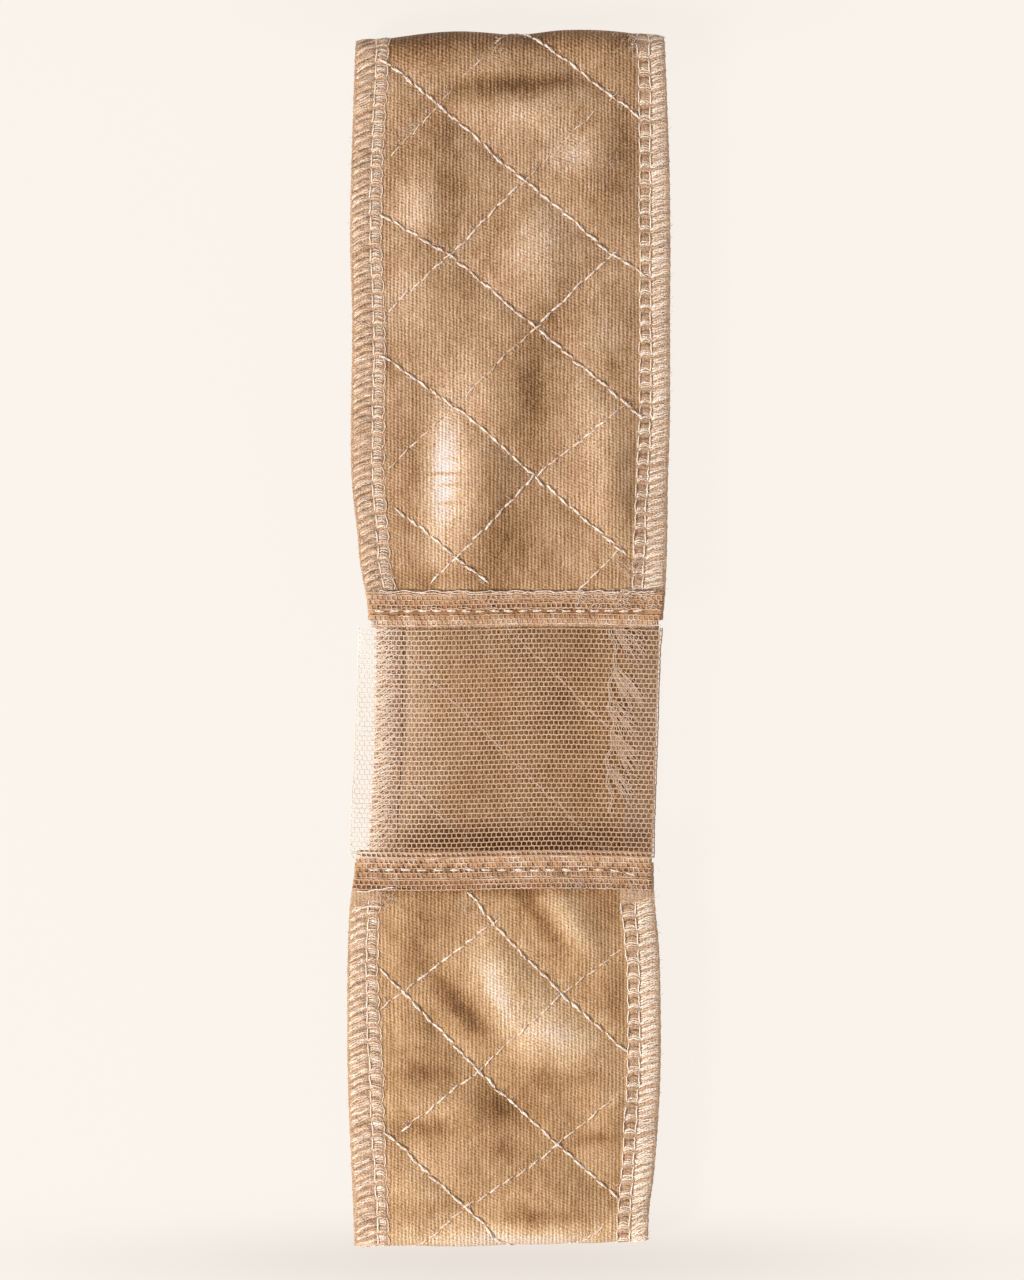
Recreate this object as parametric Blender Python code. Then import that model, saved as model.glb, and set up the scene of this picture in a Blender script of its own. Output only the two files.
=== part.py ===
"""A wig grip band: a quilted velvet loop with a sheer net window, lying folded flat.

The loop runs along Y and is open along X. Its front layer is on top, its back layer lies on z = 0,
and it folds at both ends. A place on the band is given by two lengths: along, the way along the
loop from the middle of the front layer, up in +Y and round the folds, and across, which is X.
"""

import math

import bmesh
import bpy
from mathutils import Vector

# Driving dimensions of the whole band, in metres.
BAND_LENGTH = 0.248  # fold to fold, as it lies
BAND_WIDTH = 0.0660  # over the overlocked edges where it is widest
BAND_HEIGHT = 0.0095  # of the two layers at the folds, without the swelling of the quilting

# Quilted velvet.
CLOTH_THICKNESS = 0.0014  # where it is stitched down
PUFF_OUTSIDE = 0.0009  # how far a diamond swells above its stitching
PUFF_INSIDE = 0.0005
PUFF_REACH = 0.0045  # how far from a stitch line the swelling takes to grow
QUILT_PITCH = 0.0305  # between stitch lines, measured along the band
FOLD_HEIGHT = 0.002  # of the tallest soft fold in the front layer
END_WANDER = 0.0012  # how far the two end folds stray from a straight line
END_REACH = 0.025  # how far from an end that straying is felt

# Overlocked side edges.
EDGE_WIDTH = 0.0063
EDGE_ROUNDING = 0.0013  # how far in from the rim the edge reaches its full thickness
RIM_THICKNESS = 0.0010
EDGE_RIPPLE = 0.00025
RIPPLE_PITCH = 0.018

# Net window and the two hems that join it to the velvet.
WINDOW_CENTRE = -0.0210  # along, from the middle of the front layer
WINDOW_LENGTH = 0.0476
NET_THICKNESS = 0.0010
NET_SAG = 0.0012
HEM_WIDTH = 0.0065
HEM_THICKNESS = 0.0012
HEM_OVERHANG = 0.0010  # the hem reaches this far past the end of the velvet

# Hidden fastening of the two ends, on the back layer opposite the window.
LAP_LENGTH = 0.032
LAP_RAMP = 0.012  # the inner end climbs over the outer one in this length
FASTENER_THICKNESS = 0.0012
FASTENER_WIDTH = 0.040
FASTENER_MARGIN = 0.002
FASTENER_CORNER = 0.003

# Clearance between pieces that touch on the real band.
SEAM_GAP = 0.0003

# How finely the cloth is divided.
LONG_STEP = 0.0042
RAMP_STEP = 0.002
BACK_STEP = 0.006
PANEL_COLUMNS = 14
FOLD_SEGMENTS = 8

# The band's outline, a row for each place along the loop.
# place: share of the band's length from the middle of the front, past a half it is on the back.
# left, right: the edges as shares of half the band's width.
OUTLINE = (
    # place, left, right
    (-1.18, -0.840, 0.880),
    (-0.98, -0.835, 0.890),
    (-0.86, -0.855, 0.890),
    (-0.70, -0.910, 0.875),
    (-0.54, -0.955, 0.870),
    (-0.48, -0.962, 0.865),
    (-0.44, -0.975, 0.900),
    (-0.36, -1.000, 0.938),
    (-0.26, -1.000, 0.932),
    (-0.21, -0.985, 0.900),
    (-0.16, -0.980, 0.900),
    (-0.09, -0.955, 0.919),
    (-0.01, -0.932, 0.938),
    (0.04, -0.920, 0.969),
    (0.08, -0.935, 0.980),
    (0.13, -0.975, 0.985),
    (0.18, -0.980, 0.997),
    (0.26, -0.972, 0.998),
    (0.33, -0.985, 1.000),
    (0.40, -0.975, 0.992),
    (0.48, -0.956, 0.969),
    (0.54, -0.940, 0.955),
    (0.75, -0.890, 0.920),
    (1.02, -0.845, 0.890),
)

# The two end folds, a row for each place across.
# across: share of half the width. top, bottom: shares of the wander, outward.
END_LINES = (
    # across, top, bottom
    (-1.00, -0.95, 0.50),
    (-0.65, -0.40, 0.45),
    (-0.30, 0.25, 0.35),
    (0.08, 0.00, 0.20),
    (0.35, 0.50, 0.05),
    (0.80, 0.20, -0.30),
    (1.00, -0.15, -0.50),
)

# Quilting stitch lines, a row for each family of parallel lines.
# first: where one line crosses the left edge, as a share of the quilt pitch from the window's hem.
# spacing: share of the quilt pitch. slope: length gained along the band for each length across.
QUILTING = {
    # panel: family: (first, spacing, slope)
    "upper": {"falling": (0.61, 1.000, -0.81), "rising": (0.77, 1.042, 0.93)},
    "lower": {"falling": (-0.53, 1.075, -0.965), "rising": (-0.80, 0.860, 0.77)},
}

# Soft folds of the front layer, a row for each.
# across: share of half the width. along: share of the length. reach_across: share of the width.
# reach_along: share of the length. lean: across gained for each length along.
# height: share of the tallest, below zero for a groove.
FOLDS = {
    # name: (across, along, reach_across, reach_along, lean, height)
    "top_left_ridge": (-0.43, 0.385, 0.095, 0.075, 0.00, 0.60),
    "top_right_ridge": (0.44, 0.375, 0.125, 0.080, 0.00, 0.65),
    "top_groove": (0.15, 0.452, 0.280, 0.014, 0.00, -0.40),
    "long_ridge": (-0.19, 0.150, 0.110, 0.110, 0.05, 1.00),
    "right_ridge": (0.58, 0.135, 0.100, 0.080, 0.00, 0.65),
    "lower_middle_ridge": (-0.02, -0.272, 0.075, 0.045, -0.30, 0.75),
    "lower_right_ridge": (0.45, -0.238, 0.085, 0.040, -0.20, 0.75),
    "lower_left_ridge": (-0.55, -0.292, 0.080, 0.055, -0.10, 0.50),
    "upper_crease": (-0.40, -0.372, 0.190, 0.014, 0.00, 0.45),
    "middle_crease": (0.02, -0.412, 0.200, 0.017, 0.00, 0.45),
    "lower_crease": (0.25, -0.458, 0.180, 0.012, 0.00, 0.30),
}

COLOURS = {
    # material: (red, green, blue, roughness)
    "velvet": (0.50, 0.33, 0.20, 0.75),
    "overlock_thread": (0.66, 0.47, 0.32, 0.85),
    "net": (0.72, 0.52, 0.38, 0.80),
    "fastener": (0.60, 0.43, 0.30, 0.90),
}

# Measures that follow from the dimensions.
FOLD_RADIUS = (BAND_HEIGHT - CLOTH_THICKNESS) / 2  # of the cloth's middle surface
FOLD_START = (BAND_LENGTH - CLOTH_THICKNESS) / 2 - FOLD_RADIUS
FOLD_END = FOLD_START + math.pi * FOLD_RADIUS
HALF_LOOP = FOLD_START + FOLD_END
WINDOW_TOP = WINDOW_CENTRE + WINDOW_LENGTH / 2
WINDOW_BOTTOM = WINDOW_CENTRE - WINDOW_LENGTH / 2
LAP_CENTRE = WINDOW_CENTRE + HALF_LOOP
LAP_LIFT = CLOTH_THICKNESS + FASTENER_THICKNESS + 2 * SEAM_GAP
RAMP_END = LAP_CENTRE - LAP_LENGTH / 2 - SEAM_GAP
RAMP_START = RAMP_END - LAP_RAMP
UPPER_END = LAP_CENTRE + LAP_LENGTH / 2
LOWER_LAP_START = UPPER_END - 2 * HALF_LOOP  # the same places, reached round the lower fold
LOWER_END = LOWER_LAP_START - LAP_LENGTH


def smooth(share):
    """A soft step from 0 to 1."""
    share = min(max(share, 0.0), 1.0)
    return share * share * (3 - 2 * share)


def table_value(table, place, column):
    """A column of a table at that place, on a smooth curve through its rows."""
    last = len(table) - 1
    place = min(max(place, table[0][0]), table[last][0])
    row = next(i for i in range(last) if place <= table[i + 1][0])
    before, start, end, after = table[max(row - 1, 0)], table[row], table[row + 1], table[min(row + 2, last)]
    span = end[0] - start[0]
    share = (place - start[0]) / span
    leaving = (end[column] - before[column]) / (end[0] - before[0]) * span
    arriving = (after[column] - start[column]) / (after[0] - start[0]) * span
    step = smooth(share)
    bend = leaving * share * (1 - share) ** 2 - arriving * share**2 * (1 - share)
    return start[column] + (end[column] - start[column]) * step + bend


def loop_point(along, across, rise):
    """The point at that place on the loop, at that height above the cloth's middle surface."""
    side = -1 if along < 0 else 1
    run = abs(along)
    radius = FOLD_RADIUS + rise
    if run <= FOLD_START:
        centre, turn = run, 0.0
    elif run <= FOLD_END:
        centre, turn = FOLD_START, (run - FOLD_START) / FOLD_RADIUS
    else:
        centre, turn = HALF_LOOP - run, math.pi
    reached = smooth((centre - FOLD_START + END_REACH) / END_REACH)
    stray = table_value(END_LINES, across / (BAND_WIDTH / 2), 1 if side > 0 else 2)
    y = centre + radius * math.sin(turn) + END_WANDER * stray * reached
    z = BAND_HEIGHT / 2 + radius * math.cos(turn)
    return Vector((across, side * y, z))


def frontness(along):
    """1 on the front layer, 0 on the back layer, and between them round a fold."""
    turn = (abs(along) - FOLD_START) / FOLD_RADIUS
    return (1 + math.cos(min(max(turn, 0.0), math.pi))) / 2


def left_edge(along):
    return table_value(OUTLINE, along / BAND_LENGTH, 1) * BAND_WIDTH / 2


def right_edge(along):
    return table_value(OUTLINE, along / BAND_LENGTH, 2) * BAND_WIDTH / 2


def soft_folds(along, across):
    """How far the soft folds lift the front layer at a place."""
    fade = smooth((FOLD_START - abs(along)) / FOLD_RADIUS)
    lifted = 0.0
    for fold_across, fold_along, reach_across, reach_along, lean, height in FOLDS.values():
        up = along - fold_along * BAND_LENGTH
        over = across - fold_across * BAND_WIDTH / 2 - lean * up
        distance = (over / (reach_across * BAND_WIDTH)) ** 2 + (up / (reach_along * BAND_LENGTH)) ** 2
        lifted += height * FOLD_HEIGHT * math.exp(-distance)
    return lifted * fade


def edge_ripple(along, across):
    """The slight waviness that the tight overlock thread pulls into the rim."""
    from_rim = min(across - left_edge(along), right_edge(along) - across)
    near_rim = max(0.0, 1 - from_rim / (2 * EDGE_WIDTH))
    return EDGE_RIPPLE * frontness(along) * near_rim * math.sin(2 * math.pi * along / RIPPLE_PITCH)


def net_sag(along):
    """How far the soft net hangs below its hems."""
    share = (along - WINDOW_BOTTOM) / WINDOW_LENGTH
    return NET_SAG * math.sin(math.pi * min(max(share, 0.0), 1.0)) ** 2


def lap_lift(along):
    """How far the upper panel's end is raised to lie on the fastener."""
    return LAP_LIFT * smooth((along - RAMP_START) / LAP_RAMP)


def stitch_distance(along, across, panel):
    """The distance to the nearest stitch line of each family of that panel's quilting."""
    hem = WINDOW_TOP + HEM_WIDTH if panel == "upper" else WINDOW_BOTTOM - HEM_WIDTH
    from_left = across + BAND_WIDTH / 2 - EDGE_WIDTH
    distances = []
    for first, spacing, slope in QUILTING[panel].values():
        offset = along - hem - first * QUILT_PITCH - slope * from_left
        step = spacing * QUILT_PITCH
        nearest = abs(offset - step * round(offset / step))
        distances.append(nearest / math.hypot(1.0, slope))
    return distances


def swelling(along, across, panel):
    """How much the quilting swells at a place, from 0 on a seam to nearly 1."""
    hem_side = along - WINDOW_TOP - HEM_WIDTH if panel == "upper" else WINDOW_BOTTOM - HEM_WIDTH - along
    lap_side = RAMP_START - along if panel == "upper" else along - LOWER_LAP_START
    borders = [
        hem_side,
        lap_side,
        across - left_edge(along) - EDGE_WIDTH,
        right_edge(along) - EDGE_WIDTH - across,
    ]
    swell = 1.0
    for distance in stitch_distance(along, across, panel) + borders:
        swell *= 1 - math.exp(-max(distance, 0.0) / PUFF_REACH)
    return swell


def spaced(start, end, step):
    """Evenly spaced places from start to end, both included."""
    count = max(1, math.ceil(abs(end - start) / step))
    return [start + (end - start) * i / count for i in range(count + 1)]


def stations(runs):
    """The places of several (start, end, step) runs that follow each other, each place once."""
    places = []
    for start, end, step in runs:
        run = spaced(start, end, step)
        places += run[1:] if places else run
    return places


def new_object(name, mesh, material):
    obj = bpy.data.objects.new(name, mesh)
    bpy.context.scene.collection.objects.link(obj)
    mesh.materials.append(material)
    mesh.shade_smooth()
    mesh.set_sharp_from_angle(angle=math.radians(50))
    return obj


def cloth_wall(name, places, columns, faces_at, material):
    """A closed wall of cloth.

    faces_at(along, column) gives across and the heights of the outer and inner face there.
    """
    bm = bmesh.new()
    outer, inner = [], []
    for along in places:
        rows = ([], [])
        for column in columns:
            across, top, bottom = faces_at(along, column)
            for row, rise in zip(rows, (top, bottom)):
                row.append(bm.verts.new(loop_point(along, across, rise)))
        outer.append(rows[0])
        inner.append(rows[1])
    last_place, last_column = len(places) - 1, len(columns) - 1
    for i in range(last_place):
        for layer in (outer, inner):
            for j in range(last_column):
                bm.faces.new((layer[i][j], layer[i][j + 1], layer[i + 1][j + 1], layer[i + 1][j]))
        for j in (0, last_column):
            bm.faces.new((outer[i][j], outer[i + 1][j], inner[i + 1][j], inner[i][j]))
    for i in (0, last_place):
        for j in range(last_column):
            bm.faces.new((outer[i][j], inner[i][j], inner[i][j + 1], outer[i][j + 1]))
    bmesh.ops.recalc_face_normals(bm, faces=bm.faces)
    mesh = bpy.data.meshes.new(name)
    bm.to_mesh(mesh)
    bm.free()
    return new_object(name, mesh, material)


def surface_rise(along, across, panel):
    """How far the cloth's middle surface lies outside the plain loop."""
    raised = soft_folds(along, across) + edge_ripple(along, across)
    return raised - (lap_lift(along) if panel == "upper" else 0.0)


def quilted_panel(panel, places, material):
    """A velvet panel between its two overlocked edges."""

    def faces_at(along, column):
        left = left_edge(along) + EDGE_WIDTH + SEAM_GAP
        right = right_edge(along) - EDGE_WIDTH - SEAM_GAP
        across = left + (right - left) * column
        middle = surface_rise(along, across, panel)
        swell = swelling(along, across, panel)
        outside = CLOTH_THICKNESS / 2 + PUFF_OUTSIDE * swell * frontness(along)
        inside = CLOTH_THICKNESS / 2 + PUFF_INSIDE * swell
        return across, middle + outside, middle - inside

    columns = [i / PANEL_COLUMNS for i in range(PANEL_COLUMNS + 1)]
    return cloth_wall(panel + "_panel", places, columns, faces_at, material)


def overlocked_edge(panel, side, places, material):
    """A thread-bound edge of a panel, thinner at its rim."""
    columns = [
        # distance from the rim, half the thickness there
        (0.0, RIM_THICKNESS / 2),
        (EDGE_ROUNDING, CLOTH_THICKNESS / 2),
        (EDGE_WIDTH, CLOTH_THICKNESS / 2),
    ]

    def faces_at(along, column):
        from_rim, half = column
        rim = left_edge(along) if side == "left" else right_edge(along)
        across = rim + from_rim if side == "left" else rim - from_rim
        middle = surface_rise(along, across, panel)
        # On the back layer the thinner rim lies down flat, so its outer face is level.
        settled = (CLOTH_THICKNESS / 2 - half) * (1 - frontness(along))
        return across, middle + settled + half, middle + settled - half

    return cloth_wall(f"{panel}_{side}_edge", places, columns, faces_at, material)


def net_strip(name, places, bottom, thickness, sagging, material):
    """A full-width strip of net or folded net on the outside of the front layer."""

    def faces_at(along, column):
        left, right = left_edge(along), right_edge(along)
        across = left + (right - left) * column
        middle = surface_rise(along, across, "lower")
        if sagging:
            middle -= net_sag(along)
        return across, middle + bottom + thickness, middle + bottom

    columns = [i / PANEL_COLUMNS for i in range(PANEL_COLUMNS + 1)]
    return cloth_wall(name, places, columns, faces_at, material)


def fastener(material):
    """The hidden hook-and-loop patch between the two lapped ends."""
    x = (left_edge(LAP_CENTRE) + right_edge(LAP_CENTRE)) / 2
    y = loop_point(LAP_CENTRE, x, 0.0).y
    size = (FASTENER_WIDTH, LAP_LENGTH - 2 * FASTENER_MARGIN, FASTENER_THICKNESS)
    bm = bmesh.new()
    bmesh.ops.create_cube(bm, size=1.0)
    bmesh.ops.scale(bm, vec=size, verts=bm.verts)
    upright = [e for e in bm.edges if abs(e.verts[0].co.z - e.verts[1].co.z) > FASTENER_THICKNESS / 2]
    bmesh.ops.bevel(bm, geom=upright, offset=FASTENER_CORNER, segments=3, affect="EDGES", profile=0.5)
    mesh = bpy.data.meshes.new("fastener")
    bm.to_mesh(mesh)
    bm.free()
    obj = new_object("fastener", mesh, material)
    obj.location = (x, y, CLOTH_THICKNESS + SEAM_GAP + FASTENER_THICKNESS / 2)
    return obj


def material(name):
    red, green, blue, roughness = COLOURS[name]
    made = bpy.data.materials.new(name)
    made.use_nodes = True
    shader = made.node_tree.nodes["Principled BSDF"]
    shader.inputs["Base Color"].default_value = (red, green, blue, 1.0)
    shader.inputs["Roughness"].default_value = roughness
    shader.inputs["Metallic"].default_value = 0.0
    return made


def clear_scene():
    for obj in list(bpy.data.objects):
        bpy.data.objects.remove(obj)


def main():
    clear_scene()
    velvet = material("velvet")
    thread = material("overlock_thread")
    net = material("net")

    fold_step = math.pi * FOLD_RADIUS / FOLD_SEGMENTS
    places = {
        "upper": stations(
            (
                (WINDOW_TOP + HEM_OVERHANG, WINDOW_TOP + HEM_WIDTH, HEM_WIDTH),
                (WINDOW_TOP + HEM_WIDTH, FOLD_START, LONG_STEP),
                (FOLD_START, FOLD_END, fold_step),
                (FOLD_END, RAMP_START, BACK_STEP),
                (RAMP_START, RAMP_END, RAMP_STEP),
                (RAMP_END, UPPER_END, BACK_STEP),
            )
        ),
        "lower": stations(
            (
                (WINDOW_BOTTOM - HEM_OVERHANG, WINDOW_BOTTOM - HEM_WIDTH, HEM_WIDTH),
                (WINDOW_BOTTOM - HEM_WIDTH, -FOLD_START, LONG_STEP),
                (-FOLD_START, -FOLD_END, fold_step),
                (-FOLD_END, LOWER_LAP_START, BACK_STEP),
                (LOWER_LAP_START, LOWER_END, BACK_STEP),
            )
        ),
    }
    for panel, along in places.items():
        quilted_panel(panel, along, velvet)
        for side in ("left", "right"):
            overlocked_edge(panel, side, along, thread)

    on_cloth = CLOTH_THICKNESS / 2 + SEAM_GAP
    upper_hem = spaced(WINDOW_TOP, WINDOW_TOP + HEM_WIDTH, LONG_STEP)
    lower_hem = spaced(WINDOW_BOTTOM - HEM_WIDTH, WINDOW_BOTTOM, LONG_STEP)
    window = spaced(WINDOW_BOTTOM + SEAM_GAP, WINDOW_TOP - SEAM_GAP, LONG_STEP)
    net_strip("upper_hem", upper_hem, on_cloth, HEM_THICKNESS, False, net)
    net_strip("lower_hem", lower_hem, on_cloth, HEM_THICKNESS, False, net)
    net_strip("net_window", window, on_cloth, NET_THICKNESS, True, net)
    fastener(material("fastener"))


main()
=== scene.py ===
"""Looks of the wig grip band: quilted velvet, overlocked edges, hems and a sheer net window.

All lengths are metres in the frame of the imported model, and tables are in millimetres. A place on
the band is given by along, the way along the loop from the middle of the front layer, and across,
which is X. A rise is a height above the cloth's middle surface, away from the inside of the loop.
A tone is how light a thread is, from 0 to 1.
"""

import math

import bpy
import numpy as np
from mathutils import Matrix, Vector


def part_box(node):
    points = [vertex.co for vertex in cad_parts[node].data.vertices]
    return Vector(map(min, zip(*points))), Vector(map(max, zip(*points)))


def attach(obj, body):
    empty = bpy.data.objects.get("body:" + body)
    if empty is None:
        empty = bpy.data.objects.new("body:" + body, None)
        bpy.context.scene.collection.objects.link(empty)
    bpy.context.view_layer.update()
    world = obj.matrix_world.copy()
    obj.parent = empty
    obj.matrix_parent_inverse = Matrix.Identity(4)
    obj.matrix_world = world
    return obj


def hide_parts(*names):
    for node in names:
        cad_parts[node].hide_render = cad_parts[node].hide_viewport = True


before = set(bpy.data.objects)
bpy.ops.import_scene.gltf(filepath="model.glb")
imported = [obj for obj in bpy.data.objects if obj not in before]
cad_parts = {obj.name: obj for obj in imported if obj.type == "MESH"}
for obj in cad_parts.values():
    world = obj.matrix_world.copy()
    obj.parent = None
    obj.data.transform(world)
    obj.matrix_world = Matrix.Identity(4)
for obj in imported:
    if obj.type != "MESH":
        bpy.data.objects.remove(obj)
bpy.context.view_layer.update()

rng = np.random.default_rng(11)
MM = 0.001
TURN = 2 * math.pi

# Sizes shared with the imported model.
BAND_LENGTH = 0.248
BAND_WIDTH = 0.0660
BAND_HEIGHT = 0.0095
CLOTH = 0.0014
EDGE_WIDTH = 0.0063
WINDOW_CENTRE = -0.0210
WINDOW_LENGTH = 0.0476
HEM_WIDTH = 0.0065
HEM_OVERHANG = 0.0010
NET_SAG = 0.0012
LAP_LENGTH = 0.032
LAP_RAMP = 0.012
FASTENER = 0.0012
SEAM_GAP = 0.0003
END_WANDER = 0.0012
END_REACH = 0.025

FOLD_RADIUS = (BAND_HEIGHT - CLOTH) / 2
FOLD_START = (BAND_LENGTH - CLOTH) / 2 - FOLD_RADIUS
FOLD_END = FOLD_START + math.pi * FOLD_RADIUS
HALF_LOOP = FOLD_START + FOLD_END
WINDOW_TOP = WINDOW_CENTRE + WINDOW_LENGTH / 2
WINDOW_BOTTOM = WINDOW_CENTRE - WINDOW_LENGTH / 2
LAP_CENTRE = WINDOW_CENTRE + HALF_LOOP
LAP_LIFT = CLOTH + FASTENER + 2 * SEAM_GAP
RAMP_START = LAP_CENTRE - LAP_LENGTH / 2 - SEAM_GAP - LAP_RAMP
UPPER_START = WINDOW_TOP + HEM_OVERHANG
UPPER_END = LAP_CENTRE + LAP_LENGTH / 2
LOWER_START = WINDOW_BOTTOM - HEM_OVERHANG
LOWER_LAP_START = UPPER_END - 2 * HALF_LOOP
LOWER_END = LOWER_LAP_START - LAP_LENGTH

# Sizes of the looks alone.
UPPER_TUCK = 0.0017  # how far the upper hem pulls in the left rim
UPPER_TUCK_LENGTH = 0.013
LOWER_TUCK = 0.0009
LOWER_TUCK_LENGTH = 0.010
TUCK_REACH = 0.5 * MM  # how far a tuck carries on past the window's edge
PUFF_OUTSIDE = 1.3 * MM  # how far a diamond swells above its stitching
PUFF_INSIDE = 0.5 * MM
PUFF_REACH = 3.6 * MM
DENT_OUTSIDE = 0.10 * MM
DENT_INSIDE = 0.03 * MM
RIM_HALF = 0.26 * MM  # half the thickness at the rim
BORDER_HALF = 0.44 * MM  # what the border gains on that
CRUSH = 0.12 * MM  # height of the front layer's uneven waves
RIPPLE = 0.25 * MM  # height of the ripples of its borders
STITCH = 3.2 * MM  # pitch of the overlock
RIM_CATCH = 0.05 * MM  # how far inside the rim a thread past it is held
QUILT_STITCH = 3.1 * MM
QUILT_STITCH_LENGTH = 2.95 * MM
CELL_ACROSS = 1.02 * MM  # of the net
CELL_ALONG = 0.985 * MM
NET_LIFT = 0.5 * MM  # of the net above the cloth and the seam gap
HEM_STEP = 0.19 * MM  # between the rows of a hem strip's mesh
HEM_COLUMNS = 200  # places across that mesh
STITCH_HAIRS = 5  # for each quilting stitch
BORDER_HAIRS = 26  # for each stitch of the overlock
INNER_HAIRS = 520
HEM_HAIRS = {"upper": 500, "lower": 700}
HEM_LOOPS = 60  # small loops of thread at the upper hem's right
RIB_PITCH = 0.755  # ribs of the knit, in millimetres across
COURSE_PITCH = 0.62  # its rows of loops, in millimetres along

# The outline: place along as a share of the length, then the edges as shares of half the width.
OUTLINE = np.array((
    (-1.18, -0.840, 0.900),
    (-1.02, -0.830, 0.936),
    (-0.94, -0.835, 0.921),
    (-0.86, -0.865, 0.904),
    (-0.80, -0.890, 0.884),
    (-0.70, -0.910, 0.875),
    (-0.54, -0.955, 0.870),
    (-0.48, -0.962, 0.865),
    (-0.44, -0.975, 0.900),
    (-0.36, -1.000, 0.938),
    (-0.26, -1.000, 0.932),
    (-0.21, -0.985, 0.900),
    (-0.16, -0.980, 0.900),
    (-0.09, -0.955, 0.919),
    (-0.01, -0.932, 0.938),
    (0.04, -0.920, 0.969),
    (0.08, -0.935, 0.980),
    (0.13, -0.975, 0.985),
    (0.18, -0.980, 0.997),
    (0.26, -0.972, 0.998),
    (0.33, -0.985, 1.000),
    (0.40, -0.975, 0.992),
    (0.48, -0.956, 0.969),
    (0.54, -0.940, 0.955),
    (0.75, -0.890, 0.920),
    (1.02, -0.845, 0.890),
))

# How far the end folds stray from straight: across as a share of half the width, top, bottom.
END_LINES = np.array((
    (-1.00, -0.95, 0.50),
    (-0.65, -0.40, 0.45),
    (-0.30, 0.25, 0.35),
    (0.08, 0.00, 0.20),
    (0.35, 0.50, 0.05),
    (0.80, 0.20, -0.30),
    (1.00, -0.15, -0.50),
))

# The needle rows' distances from the rim: along, left outer, left inner, right outer, right inner.
NEEDLE_ROWS = np.array((
    (-290.0, 4.2, 6.2, 4.2, 6.2),
    (-123.0, 4.9, 6.8, 3.7, 6.2),
    (-100.0, 4.6, 6.9, 4.5, 6.8),
    (-88.0, 4.5, 7.0, 4.3, 6.6),
    (-70.0, 3.9, 6.0, 4.3, 6.6),
    (-53.0, 3.9, 5.9, 4.1, 6.8),
    (10.0, 3.9, 5.9, 4.7, 6.8),
    (48.0, 4.5, 6.6, 3.9, 6.1),
    (90.0, 4.1, 6.1, 4.1, 6.1),
    (118.0, 4.3, 6.6, 3.3, 5.5),
    (290.0, 4.2, 6.2, 3.8, 6.0),
))
NEEDLE_COLUMNS = {("left", "outer"): 1, ("left", "inner"): 2, ("right", "outer"): 3, ("right", "inner"): 4}

# Soft folds of the front layer: across, along, half width, half length, lean, height.
FOLDS = (
    (-5.1, 34.0, 6.6, 27.0, 0.17, 2.7),
    (20.5, 31.0, 5.2, 18.0, 0.00, 1.7),
    (-17.5, 86.0, 4.6, 15.0, 0.02, 1.1),
    (6.5, 80.0, 6.5, 15.0, 0.00, 1.2),
    (17.0, 96.0, 6.0, 14.0, 0.00, 0.9),
    (4.0, 108.5, 15.0, 3.2, 0.00, 1.1),
    (-3.0, 117.6, 6.0, 2.4, 0.00, 0.5),
    (16.0, 55.0, 5.0, 11.0, 0.10, 0.8),
    (13.2, -58.0, 3.8, 8.5, -0.45, 1.3),
    (1.5, -72.0, 7.6, 12.0, -0.39, 1.25),
    (-20.5, -71.0, 4.0, 10.0, -0.10, 0.8),
    (10.5, -80.5, 9.0, 6.0, 0.00, 0.8),
    (-15.5, -94.6, 9.0, 3.0, 0.10, 1.0),
    (20.0, -95.0, 5.0, 4.5, 0.00, 0.7),
    (8.0, -98.5, 5.0, 3.2, -0.30, 0.7),
    (-17.0, -109.5, 8.0, 5.0, 0.00, 0.8),
    (2.0, -112.5, 8.0, 3.2, 0.00, 0.7),
    (4.0, -121.5, 22.0, 2.2, 0.00, 0.5),
)

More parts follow.
